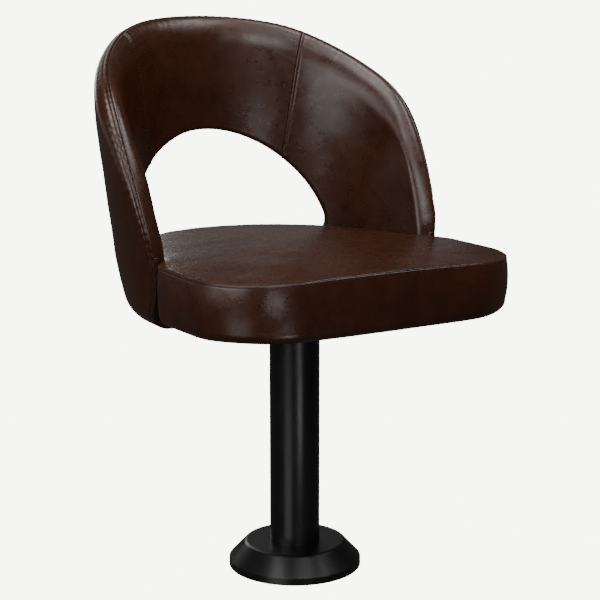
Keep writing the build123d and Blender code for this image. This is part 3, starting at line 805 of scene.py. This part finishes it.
def puckers(along, run, wave=13.0, reach=16.0):
    """Small gathers that fan out from a seam and fade."""
    beat = np.sin(along / wave * 2 * math.pi + 1.7 * np.sin(along / 41.0))
    beat = beat * (0.55 + 0.45 * np.sin(along / 97.0 + 1.0))
    return 0.32 * beat * np.exp(-((run - 5.0) / reach) ** 2)


# ------------------------------------------------------------------ outer cover
def ring_normals(line):
    """Unit normals of a closed clockwise (x, y) line that point outwards."""
    along = np.roll(line, -1, axis=0) - np.roll(line, 1, axis=0)
    normal = np.c_[-along[:, 1], along[:, 0]]
    return normal / np.maximum(np.linalg.norm(normal, axis=1, keepdims=True), 1e-9)


def even_ring(ring, count):
    """Closed line again with evenly spaced points, its first one in the middle."""
    ring = resampled(np.vstack([ring, ring[:1]]), count + 1)[:-1]
    ring[:, 0] -= ring[0, 0]
    return ring


def outer_boundary(columns):
    """Edge of the laid-out cover: the rim's ridge, then the hem under the shell."""
    rim = rim_edge(OUTER[0, 1] + 0.6)
    side = resampled(np.c_[rim[:, 0] * DOMAIN_R, run_at(rim[:, 1])], 600)
    hem = np.array([(side[-1, 0], 0.0), (0.0, 0.0)])
    outside = resampled(full_loop(np.vstack([side, hem])), 2400)[:-1]
    corner = side[-1] * (1, 0)
    near = np.minimum(*(np.linalg.norm(outside - corner * (k, 1), axis=1) for k in (1, -1)))
    return even_ring(softened(outside, np.exp(-(near / HEM_CORNER_SOFT) ** 2), 160), columns)


def facing(outside, hole_xz, values):
    """Values along the cut-out, taken where it faces each point of the outer boundary."""
    centre = np.array([0.0, run_at(MATCH_Z)])
    hole_flat = np.c_[wall_angle(hole_xz[:, 0]) * DOMAIN_R, run_at(hole_xz[:, 1])]
    direction, wanted = (np.unwrap(np.arctan2(line[:, 0] - centre[0], line[:, 1] - centre[1]))
                         for line in (hole_flat, outside))
    whole = 2 * math.pi
    wanted = wanted - whole * round((wanted[0] - direction[0]) / whole)
    start = np.r_[direction - whole, direction, direction + whole]
    index = np.interp(wanted, start, np.arange(len(start))) % len(direction)
    picked = [np.interp(index, np.arange(len(values) + 1), np.r_[values[:, k], values[:1, k]])
              for k in range(values.shape[1])]
    return np.stack(picked, axis=1)


def on_outer_face(flat, turn):
    """Laid-out points back on the outer face as (radius, angle, z), part way round its roll."""
    w = np.clip(flat[:, 1], 0, OUTER_RUN[-1])
    face, z, rise = (np.interp(w, OUTER_RUN, v) for v in (OUTER[:, 0], OUTER[:, 1], OUTER_RISE))
    drop = np.maximum(face - EDGE_R, EDGE_PROUD) * (1 - math.sin(turn))
    down = np.where(z < FOOT_TOP_Z, rise, 0.0)
    return face - drop * np.sqrt(1 - down ** 2), flat[:, 0] / DOMAIN_R, z - drop * down


def rim_turns(count):
    """Angles round the rim's roll, finest at the ridge."""
    return np.radians(np.r_[np.linspace(0, 60, count), np.linspace(60, 90, 7)[1:]])


def outer_cover_grid(columns=960, middle=46):
    """Outer cover as one ring of leather round the cut-out: rows from the cut-out to the rim."""
    outside = outer_boundary(columns)
    inward = -ring_normals(outside)
    ring = even_ring(full_loop(cutout_edge()), 1599)
    hole_xz, hole_out = facing(outside, ring, ring), unit(facing(outside, ring, ring_normals(ring)))

    rows = []                                    # each is (radius, angle, z) over the columns
    for turn in HOLE_TURNS:
        xz = hole_xz + hole_out * (OUTER_HOLE_ROLL * (1 - math.cos(turn)))
        face = outer_r(xz[:, 1])
        rows.append((face - (face - HOLE_SEAM_R) * (1 - math.sin(turn)), wall_angle(xz[:, 0]), xz[:, 1]))
    for more in OUTER_HOLE_STEPS:
        xz = hole_xz + hole_out * (OUTER_HOLE_ROLL + more)
        rows.append((outer_r(xz[:, 1]), wall_angle(xz[:, 0]), xz[:, 1]))

    # the roll is wide up the arms and tight along the hem
    wide = step_in(outside[:, 1], run_at(HEM_ROLL_Z), run_at(FOOT_TOP_Z) - run_at(HEM_ROLL_Z))
    reach = (HEM_ROLL + (OUTER_ROLL - HEM_ROLL) * wide)[:, None]
    spread = (0.4 + 0.6 * wide)[:, None]
    last_hole = np.c_[rows[-1][1] * DOMAIN_R, run_at(rows[-1][2])]
    first_rim = outside + inward * (reach + spread * OUTER_RIM_STEPS[0])
    for k in range(1, middle):
        rows.append(on_outer_face(last_hole + (first_rim - last_hole) * (k / middle), math.pi / 2))
    for more in OUTER_RIM_STEPS:
        rows.append(on_outer_face(outside + inward * (reach + spread * more), math.pi / 2))
    for turn in rim_turns(21)[::-1]:
        rows.append(on_outer_face(outside + inward * reach * (1 - math.cos(turn)), turn))
    return np.array([place(*row) for row in rows]), outside


def outwards(grid, normal, inwards=False):
    """Turn normals so that they point away from the bucket's axis, or towards it."""
    middle = grid.shape[0] // 2
    away = grid[middle] - np.array([0, AXIS_Y * MM, 0])
    away[:, 2] = 0
    sign = np.sign((normal[middle] * away).sum())
    return normal * (-sign if inwards else sign), bool((sign < 0) != inwards)


def build_outer_cover(leather, thread):
    """Outer cover: rolled over the rim and into the cut-out, with its topstitched edges."""
    grid, outside = outer_cover_grid()
    normal, flip = outwards(grid, grid_normals(grid, closed_cols=True))
    hole_run = column_runs(grid)
    rim_run = hole_run[-1] - hole_run
    inset = settings().topstitch_inset / MM
    along = lengths(outside)[None, :]
    rim_seam = [(-1.1, 0, 0.8), (0.9, 2.8, 2.0), (-0.7, inset, 1.0), (0.3, inset + 4.5, 3.0)]
    hole_seam = [(-1.12, 0, 0.9), (0.7, 2.4, 1.6), (-0.56, inset, 1.1)]
    relief = ridges(rim_run, rim_seam) + puckers(along, rim_run)
    relief += ridges(hole_run, hole_seam) + 0.7 * puckers(along * 0.7, hole_run)
    relief += padding(grid, np.minimum(hole_run, rim_run), "outer")
    skin = grid + normal * relief[..., None] * MM
    cover = grid_object("back_outer_leather", skin, closed_cols=True, flip=flip)
    finish_piece(cover, leather, SKIN)
    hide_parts("back_outer_cover")
    edges = [row_at(skin, normal, run, inset) for run in (rim_run, hole_run)]
    stitching("back_outer_topstitch", edges, thread)


def sill_lip_grid():
    """Lip of the outer cover over the cut-out's sill, down inside the bucket behind the cushion."""
    half = cutout_edge()
    half = half[(half[:, 1] < SILL_LIP_TOP_Z) & (half[:, 0] >= 0)]
    line = resampled(np.vstack([half, (half * (-1, 1))[-2::-1]]), 240)
    along = np.gradient(line, axis=0)
    out = unit(np.c_[-along[:, 1], along[:, 0]])
    rows = []
    for radius, away in SILL_LIP:
        xz = line + out * away
        rows.append(place(radius, wall_angle(xz[:, 0]), xz[:, 1]))
    return np.array(rows)


def arm_lip_grid(count=150):
    """Inside lip of the outer cover on the right arm's front edge, below the inner panel."""
    seam = np.array(COVER_SEAM[::-1])
    z = np.linspace(*ARM_LIP_Z, count)
    ridge = outer_r(z) - EDGE_PROUD
    thick = np.clip(ridge - np.interp(z, seam[:, 1], seam[:, 0], left=ARM_LIP_LOW_R), *ARM_LIP_THICK)
    rows = []
    for share, back in ARM_LIP:
        radius = ridge - thick * share
        angle = np.arccos(np.clip((rim_y(z) + back - AXIS_Y) / radius, -1, 1))
        rows.append(place(radius, angle, z))
    return np.array(rows)


def build_cover_lips(leather):
    """The lips that turn the outer cover in: down each arm's front and over the sill."""
    right, sill = arm_lip_grid(), sill_lip_grid()
    lips = []
    for side, grid in (("right", right), ("left", right * (-1, 1, 1))):
        backwards = grid_normals(grid)[2].mean(axis=0)[1] > 0
        lips.append(grid_object(f"arm_front_lip_{side}", grid, flip=bool(backwards)))
    lips.append(grid_object("back_sill_lip", sill, flip=bool(grid_normals(sill)[3, 120, 2] < 0)))
    for lip in lips:
        finish_piece(lip, leather, LIP_SKIN)
        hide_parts("back_outer_cover")


# ------------------------------------------------------------------ inner panels
def seam_line():
    """The right inner seam as (angle, z) at the rim and at the cut-out."""
    rim = rim_edge(470)
    top_angle = np.interp(-SEAM_TOP[1], -rim[:, 1], rim[:, 0])
    low_z = CUTOUT_Z + math.sqrt(CUTOUT_R ** 2 - SEAM_LOW[0] ** 2)
    return np.array([top_angle, SEAM_TOP[1]]), np.array([wall_angle(SEAM_LOW[0]), low_z])


def inner_panel_grid(side_panel, middle=40):
    """One inner panel: rows from the rim to the cut-out, columns from the seam.

    The centre panel's columns run from the left seam to the right one."""
    start, end = seam_line()
    hole = cutout_edge()
    hole_run = lengths(hole)
    hole_seam = hole_run[np.argmin(np.hypot(hole[:, 0] - SEAM_LOW[0], hole[:, 1] - end[1]))]
    hole_end = hole_run[np.argmax(hole[:, 1] < PANEL_LOW_Z)]
    rim = rim_edge(PANEL_LOW_Z)
    run = lengths(rim * (DOMAIN_R, 1))
    seam_run = np.interp(start[0], rim[:, 0], run)
    if side_panel:
        length = run[-1] - seam_run
        f = spaced(length, SEAM_STEPS, PANEL_END_STEPS, 170)
        s = seam_run + f * length
        hole_at = hole_seam + (hole_end - hole_seam) * f
        side = np.ones(len(f))
        from_seam = f * length
    else:
        length = 2 * seam_run
        f = spaced(length, SEAM_STEPS, SEAM_STEPS, 150)
        s = (f - 0.5) * length
        hole_at = hole_seam * np.abs(2 * f - 1)
        side = np.sign(f - 0.5)
        from_seam = np.minimum(f * length, length - f * length)
    sided = np.c_[side, np.ones(len(f))]
    edge = np.c_[np.interp(np.abs(s), run, rim[:, 0]), np.interp(np.abs(s), run, rim[:, 1])] * sided
    along = unit(np.gradient(hole, axis=0))

    def on_hole(line):
        return np.stack([np.interp(hole_at, hole_run, line[:, k]) for k in (0, 1)], axis=1)

    hole_xz = on_hole(hole) * sided
    hole_out = unit(on_hole(np.c_[-along[:, 1], along[:, 0]]) * sided)

    # directions across the rim: square to it, but along the seam at the seam
    flat = edge * (DOMAIN_R, 1)
    tangent = unit(np.gradient(flat, axis=0))
    square = np.c_[-tangent[:, 1], tangent[:, 0]]
    square *= np.sign(-(square[:, 1:] * 0.6 + square[:, :1] * np.sign(edge[:, :1]) * 0.8))
    if not side_panel:
        square *= np.sign(-square[:, 1:])
    seam = np.array([[(end[0] - start[0]) * DOMAIN_R, end[1] - start[1]]])
    seam_dirs = unit(seam) * sided
    blend = (1 - step_in(from_seam, 0, SEAM_BLEND))[:, None]
    across = square * (1 - blend) + seam_dirs * blend
    across /= (across * square).sum(1, keepdims=True)
    over = hole_out * (1 - blend) - seam_dirs * blend
    over /= (over * hole_out).sum(1, keepdims=True)

    # the padding thins out widely along the top and turns over tightly down the arms
    reach = (INNER_ROLL_ARMS + (INNER_ROLL - INNER_ROLL_ARMS) * step_in(edge[:, 1], *INNER_ROLL_Z))[:, None]
    rows = []
    for turn in rim_turns(22):
        at = (flat + across * reach * (1 - math.cos(turn))) / (DOMAIN_R, 1)
        face = inner_r(at[:, 1])
        rows.append((face + (edge_r(at[:, 1]) - face) * (1 - math.sin(turn)), at[:, 0], at[:, 1]))
    for more in INNER_RIM_STEPS:
        at = (flat + across * (reach + more)) / (DOMAIN_R, 1)
        rows.append((inner_r(at[:, 1]), at[:, 0], at[:, 1]))
    hole_rows = []
    fuller = INNER_HOLE_PROUD * step_in(CUTOUT_Z + CUTOUT_R - hole_xz[:, 1], 0, 20)[:, None]
    for turn in HOLE_TURNS:
        xz = hole_xz + over * (INNER_HOLE_ROLL * (1 - math.cos(turn)) - fuller * math.sin(2 * turn))
        face = inner_r(xz[:, 1])
        radius = face + (HOLE_SEAM_R - face) * (1 - math.sin(turn))
        hole_rows.append((radius, wall_angle(xz[:, 0]), xz[:, 1]))
    for more in INNER_HOLE_STEPS:
        xz = hole_xz + over * (INNER_HOLE_ROLL + more)
        hole_rows.append((inner_r(xz[:, 1]), wall_angle(xz[:, 0]), xz[:, 1]))
    (_, top_angle, top_z), (_, low_angle, low_z) = rows[-1], hole_rows[-1]
    for t in np.arange(1, middle) / middle:
        z = top_z + (low_z - top_z) * t
        rows.append((inner_r(z), top_angle + (low_angle - top_angle) * t, z))
    return np.array([place(*row) for row in rows + hole_rows[::-1]])


def seam_distance(grid, sides):
    """Distance of each point of a panel from the seam columns named, along the leather."""
    out = np.full(grid.shape[:2], 1e3)
    step = np.linalg.norm(np.diff(grid, axis=1), axis=2) / MM
    if "first" in sides:
        out = np.minimum(out, np.hstack([np.zeros((len(grid), 1)), np.cumsum(step, axis=1)]))
    if "last" in sides:
        back = np.cumsum(step[:, ::-1], axis=1)[:, ::-1]
        out = np.minimum(out, np.hstack([back, np.zeros((len(grid), 1))]))
    return out


def build_inner_panel(name, node, grid, sides, felled, leather):
    """One inner panel with its rolled edges; a felled one gives the line of its topstitching."""
    normal, flip = outwards(grid, grid_normals(grid), inwards=True)
    rim_run = column_runs(grid)
    hole_run = rim_run[-1] - rim_run
    seam_run = seam_distance(grid, sides)
    along = (lengths(grid[0]) / MM)[None, :]
    down = np.arange(1, len(grid) + 1)[:, None] * ROW_PITCH
    depth = rim_run + hole_run
    relief = ridges(rim_run, RIM_SEAM) + 0.25 * puckers(along, rim_run)
    relief += ridges(hole_run, INNER_HOLE_SEAM) + 0.4 * puckers(along * 0.6, hole_run)
    relief += ridges(seam_run, FELLED_SEAM if felled else PLAIN_SEAM)
    relief += 0.4 * puckers(down, seam_run, wave=17.0, reach=20.0)
    relief += INNER_PILLOW * np.clip(depth / PILLOW_DEPTH, 0, 1) ** 2 * np.sin(np.pi * rim_run / depth)
    relief += padding(grid, np.minimum(np.minimum(hole_run, rim_run), seam_run), "inner")
    skin = grid + normal * relief[..., None] * MM
    panel = grid_object(name, skin, flip=flip)
    finish_piece(panel, leather, SKIN)
    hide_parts(node)
    if not felled:
        return []
    across, skin, normal = (np.swapaxes(a, 0, 1)[:, 4:-4] for a in (grid, skin, normal))
    return [row_at(skin, normal, column_runs(across), FELL_INSET)]


# ------------------------------------------------------------------ seat cushion
def rounded(corners, step=2.0):
    """Points along straight sides whose corners are rounded, as (x, y, radius)."""
    points = [np.array(corners[0][:2])]
    for before, corner, after in zip(corners, corners[1:], corners[2:]):
        p, q, s = (np.array(c[:2], float) for c in (before, corner, after))
        u, v = (p - q) / np.linalg.norm(p - q), (s - q) / np.linalg.norm(s - q)
        half = math.acos(np.clip(u @ v, -1, 1)) / 2
        reach = corner[2] / math.tan(half)
        middle = q + (u + v) / np.linalg.norm(u + v) * corner[2] / math.sin(half)
        a, b = q + u * reach - middle, q + v * reach - middle
        turn = math.atan2(a[0] * b[1] - a[1] * b[0], a @ b)
        for t in np.linspace(0, turn, max(3, int(abs(turn) * corner[2] / step))):
            c, w = math.cos(t), math.sin(t)
            points.append(middle + np.array([a[0] * c - a[1] * w, a[0] * w + a[1] * c]))
    points.append(np.array(corners[-1][:2], float))
    return np.array(points)


def seat_outline(count=420):
    """Plan of the cushion, evenly spaced, anticlockwise from the middle of the front."""
    join_x = math.sqrt(SEAT_REAR_R ** 2 - (AXIS_Y - SEAT_JOIN_Y) ** 2)
    front = SEAT_FRONT_Y + SEAT_FRONT_BOW
    half = rounded([
        (0, front, 0),
        (SEAT_HALF_WIDTH, front, SEAT_CORNER_R),
        (SEAT_WAIST[0], SEAT_WAIST[1], SEAT_WAIST_R),
        (join_x, SEAT_JOIN_Y, 0),
    ])
    bow = np.clip(1 - (half[:, 0] / SEAT_HALF_WIDTH) ** 2, 0, 1) * (half[:, 1] < SEAT_WAIST[1])
    half[:, 1] -= SEAT_FRONT_BOW * bow * np.clip((SEAT_BOW_END[0] - half[:, 1]) / SEAT_BOW_END[1], 0, 1)
    start = math.atan2(SEAT_JOIN_Y - AXIS_Y, join_x)
    turn = np.linspace(start, math.pi / 2, 120)[1:]
    half = np.vstack([half, np.c_[SEAT_REAR_R * np.cos(turn), AXIS_Y + SEAT_REAR_R * np.sin(turn)]])
    half = resampled(half, count // 2 + 1)
    smooth = half.copy()
    for _ in range(14):
        smooth[1:-1] = (smooth[:-2] + 2 * smooth[1:-1] + smooth[2:]) / 4
    near_join = np.exp(-((half[:, 1] - SEAT_JOIN_Y) / SEAT_JOIN_SOFT) ** 2)[:, None] * (half[:, :1] > 150)
    return full_loop(half + (smooth - half) * near_join)


def outline_normals(line):
    """Outward normals of the anticlockwise plan."""
    along = np.roll(line, -1, axis=0) - np.roll(line, 1, axis=0)
    return unit(np.c_[along[:, 1], -along[:, 0]])


def dome_z(points, apex, radius):
    """Height of a shallow dome over plan points; the cushion sinks a little between the arms."""
    x, y = points[..., 0], points[..., 1]
    sink = SEAT_SINK * (x / SEAT_SINK_HALF_WIDTH) ** 2 * step_in(y, *SEAT_SINK_Y)
    return apex - (x ** 2 + y ** 2) / (2 * radius) - sink


def seat_top_grid(outline, out):
    """Crowned top panel that rolls over into its seam."""
    rings = [outline - out * inset for inset in TOP_EDGE_STEPS]
    last = rings[-1]
    for t in np.linspace(0, 1, 26)[1:]:
        smooth = softened(last, np.ones(len(last)), int(60 * t))
        rings.append(smooth + (SEAT_MIDDLE - smooth) * min(t, 0.985))
    plan = np.array(rings)
    distance = np.full(plan.shape[:2], 60.0)
    distance[:len(TOP_EDGE_STEPS)] = np.array(TOP_EDGE_STEPS, float)[:, None]
    seam = dome_z(plan, SEAM_APEX_Z, SEAM_DOME_R)
    crown = dome_z(plan, CROWN_APEX_Z, CROWN_DOME_R)
    z = crown - roll(distance, SEAT_ROLL, 1.0) * (crown - seam - SEAT_SEAM_PROUD)
    return np.concatenate([plan, z[..., None]], axis=2)


def build_seat_top(outline, out, leather):
    """The crowned panel, its middle closed by a fan of triangles."""
    top = seat_top_grid(outline, out) * MM
    normal = grid_normals(top, closed_cols=True)
    normal *= np.sign(normal[30, :, 2].mean())
    run = column_runs(top)
    relief = ridges(run, RIM_SEAM) + 0.5 * puckers(lengths(outline)[None, :], run, 15, 14)
    relief += padding(top, run, "seat_top")
    skin = top + normal * relief[..., None] * MM
    points = np.vstack([skin.reshape(-1, 3), skin[-1].mean(axis=0)[None, :]])
    quads, index = grid_faces(*skin.shape[:2], closed_cols=True)
    last = index[-1]
    fan = [(int(a), int(b), index.size) for a, b in zip(last, np.roll(last, -1))]
    cover = mesh_object("seat_top_leather", points, quads.tolist() + fan)
    finish_piece(cover, leather, TOP_SKIN)
    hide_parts("seat_top_cover", "seat_foam")


def seat_border_grid(outline, out):
    """Side of the cushion: down from the seam, bellied where it is free, and turned under."""
    bulge = settings().seat_bulge / MM
    seam_z = dome_z(outline, SEAM_APEX_Z, SEAM_DOME_R)
    round_z = SEAT_BOTTOM_Z + SEAT_BOTTOM_ROUND
    free = np.clip((SEAT_FREE[0] - outline[:, 1]) / SEAT_FREE[1], 0, 1)
    levels = [seam_z - drop for drop in BORDER_EDGE_STEPS]
    levels += [levels[-1] * (1 - t) + round_z * t for t in np.linspace(0, 1, 17)[1:]]
    rings = []
    for z in levels:
        t = np.clip((seam_z - z) / (seam_z - round_z), 0, 1)
        belly = bulge * np.sin(np.pi * t) * (0.25 + 0.75 * free)
        rings.append(np.c_[outline + out * belly[:, None], z])
    under = [(SEAT_BOTTOM_ROUND * (1 - math.cos(turn)), round_z - SEAT_BOTTOM_ROUND * math.sin(turn))
             for turn in np.linspace(0, math.pi / 2, 12)[1:]]
    under += [(SEAT_BOTTOM_ROUND + more, SEAT_BOTTOM_Z)
              for more in np.linspace(0, SEAT_HEM - SEAT_BOTTOM_ROUND, 9)[1:]]
    for inset, z in under:
        rings.append(np.c_[outline - out * inset, np.full(len(outline), z)])
    grid = np.array(rings)
    at, reach = SEAT_CORNER
    corner = bump(np.abs(grid[..., 0]), at, reach) * bump(grid[..., 1], -at, reach)
    grid[..., 2] += SEAT_CORNER_LIFT * corner * np.clip((440 - grid[..., 2]) / 30, 0, 1)
    return grid * MM


def build_seat_border(outline, out, leather, thread):
    """The border and the topstitching under its seam."""
    grid = seat_border_grid(outline, out)
    normal = grid_normals(grid, closed_cols=True)
    facing_out = (normal[14, :, :2] * out).sum()
    normal *= np.sign(facing_out)
    run = column_runs(grid)
    relief = ridges(run, BORDER_SEAM) + 0.4 * puckers(lengths(outline)[None, :], run, 15, 15)
    relief += padding(grid, run, "seat_border")
    relief *= np.where(grid[..., 2] / MM < SEAT_BOTTOM_Z + 3, 0.2, 1.0)
    skin = grid + normal * relief[..., None] * MM
    side = grid_object("seat_border_leather", skin, closed_cols=True, flip=bool(facing_out < 0))
    finish_piece(side, leather, BORDER_SKIN)
    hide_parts("seat_border")
    line, ups = row_at(skin, normal, run, SEAT_STITCH_INSET)
    stitching("seat_topstitch", [(np.vstack([line, line[:1]]), np.vstack([ups, ups[:1]]))], thread)


# ------------------------------------------------------------------ operators
class ARMCHAIR_OT_stage(bpy.types.Operator):
    """Set the floor, the backdrop, the studio lights and the camera"""

    bl_idname = "armchair.stage"
    bl_label = "Stage"

    def execute(self, context):
        scene = context.scene
        bpy.ops.mesh.primitive_plane_add(size=FLOOR_SIZE, location=(0, 0, 0))
        floor = context.object
        floor.name = "studio_floor"
        floor.data.materials.append(shared_material("sweep"))

        camera = bpy.data.objects.new("camera", bpy.data.cameras.new("camera"))
        camera.data.lens = CAMERA_LENS
        camera.data.sensor_width = 36.0
        camera.data.clip_end = 60
        bearing = math.radians(CAMERA_BEARING)
        camera.location = (-CAMERA_REACH * math.sin(bearing), -CAMERA_REACH * math.cos(bearing),
                           CAMERA_HEIGHT)
        camera.rotation_euler = Euler((math.radians(90 - CAMERA_DIP), 0, math.radians(-CAMERA_TURN)))
        scene.collection.objects.link(camera)
        scene.camera = camera

        scene.world = bpy.data.worlds.new("studio")
        tree = empty_tree(scene.world)
        seen = add_node(tree, "ShaderNodeBackground", {"Color": (*BACKDROP, 1),
                                                       "Strength": BACKDROP_LEVEL})
        lit = add_node(tree, "ShaderNodeBackground", {"Color": (*linear("#e9e9ea"), 1),
                                                      "Strength": ROOM_LIGHT})
        add_node(tree, "ShaderNodeOutputWorld", {"Surface": seen_by_camera(tree, seen, lit)})
        for lamp in STUDIO_LIGHTS:
            self.light(scene, *lamp)
        return {"FINISHED"}

    def light(self, scene, name, bearing, rise, distance, width, height, power):
        """A soft box that the camera doesn't see, aimed at the middle of the chair."""
        data = bpy.data.lights.new(name, "AREA")
        data.shape = "RECTANGLE"
        data.size, data.size_y, data.energy = width, height, power
        lamp = bpy.data.objects.new(name, data)
        a, e = math.radians(bearing), math.radians(rise)
        out = Vector((math.sin(a) * math.cos(e), -math.cos(a) * math.cos(e), math.sin(e)))
        lamp.location = Vector((0, 0, LIGHTS_AIM_Z)) + distance * out
        lamp.rotation_euler = (-out).to_track_quat("-Z", "Y").to_euler()
        lamp.visible_camera = False
        scene.collection.objects.link(lamp)


class ARMCHAIR_OT_back(bpy.types.Operator):
    """Stretch the leather over the wrap-round back and arms"""

    bl_idname = "armchair.back"
    bl_label = "Back and arms"

    def execute(self, context):
        leather, thread = shared_material("leather"), shared_material("thread")
        build_outer_cover(leather, thread)
        build_cover_lips(leather)
        right = inner_panel_grid(True)
        runs = []
        for name, node, grid, sides, felled in (
                ("back_inner_right_leather", "back_inner_right", right, ("first",), True),
                ("back_inner_left_leather", "back_inner_left", right * (-1, 1, 1), ("first",), True),
                ("back_inner_centre_leather", "back_inner_centre", inner_panel_grid(False),
                 ("first", "last"), False)):
            runs += build_inner_panel(name, node, grid, sides, felled, leather)
        stitching("back_inner_topstitch", runs, thread)
        return {"FINISHED"}


class ARMCHAIR_OT_seat(bpy.types.Operator):
    """Make the seat cushion's leather"""

    bl_idname = "armchair.seat"
    bl_label = "Seat cushion"

    def execute(self, context):
        leather, thread = shared_material("leather"), shared_material("thread")
        outline = seat_outline()
        out = outline_normals(outline)
        build_seat_top(outline, out, leather)
        build_seat_border(outline, out, leather, thread)
        return {"FINISHED"}


class ARMCHAIR_OT_base(bpy.types.Operator):
    """Finish the column, its cover, the swivel and the hidden frame"""

    bl_idname = "armchair.base"
    bl_label = "Column, swivel and frame"

    finishes = {
        "floor_flange": "powder_coat", "base_cover": "powder_coat", "column_tube": "powder_coat",
        "bearing_housing": "turned_steel", "upper_bush": "bush", "lower_bush": "bush",
        "thrust_washer": "bush", "swivel_spindle": "turned_steel", "retaining_ring": "spring_steel",
        "swivel_hub": "powder_coat", "mounting_plate": "powder_coat", "plate_washers": "zinc",
        "plate_bolts": "zinc", "tee_nuts": "zinc", "seat_board": "seat_board",
        "seat_bottom_cloth": "bottom_cloth", "back_shell": "shell",
    }

    def execute(self, context):
        for node, finish in self.finishes.items():
            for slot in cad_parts[node].material_slots:
                slot.material = shared_material(finish)
        return {"FINISHED"}


class ARMCHAIR_PT_panel(bpy.types.Panel):
    """Shows the armchair's settings and its building steps in the sidebar"""

    bl_label = "Armchair"
    bl_idname = "ARMCHAIR_PT_panel"
    bl_space_type = "VIEW_3D"
    bl_region_type = "UI"
    bl_category = "Armchair"

    def draw(self, context):
        column = self.layout.column()
        for name in ArmchairSettings.__annotations__:
            column.prop(context.scene.armchair, name)
        for kind in OPERATORS:
            column.operator(kind.bl_idname, text=kind.bl_label)


OPERATORS = (ARMCHAIR_OT_stage, ARMCHAIR_OT_base, ARMCHAIR_OT_back, ARMCHAIR_OT_seat)
CLASSES = (ArmchairSettings, *OPERATORS, ARMCHAIR_PT_panel)


def register():
    """Make the settings, the operators and the panel known to Blender."""
    for kind in CLASSES:
        bpy.utils.register_class(kind)
    bpy.types.Scene.armchair = PointerProperty(type=ArmchairSettings)


def unregister():
    """Take them out again, in the opposite order."""
    del bpy.types.Scene.armchair
    for kind in reversed(CLASSES):
        bpy.utils.unregister_class(kind)


def main():
    """Build the armchair and its stage."""
    register()
    bpy.ops.armchair.stage()
    bpy.ops.armchair.base()
    bpy.ops.armchair.back()
    bpy.ops.armchair.seat()


if __name__ == "__main__":
    main()
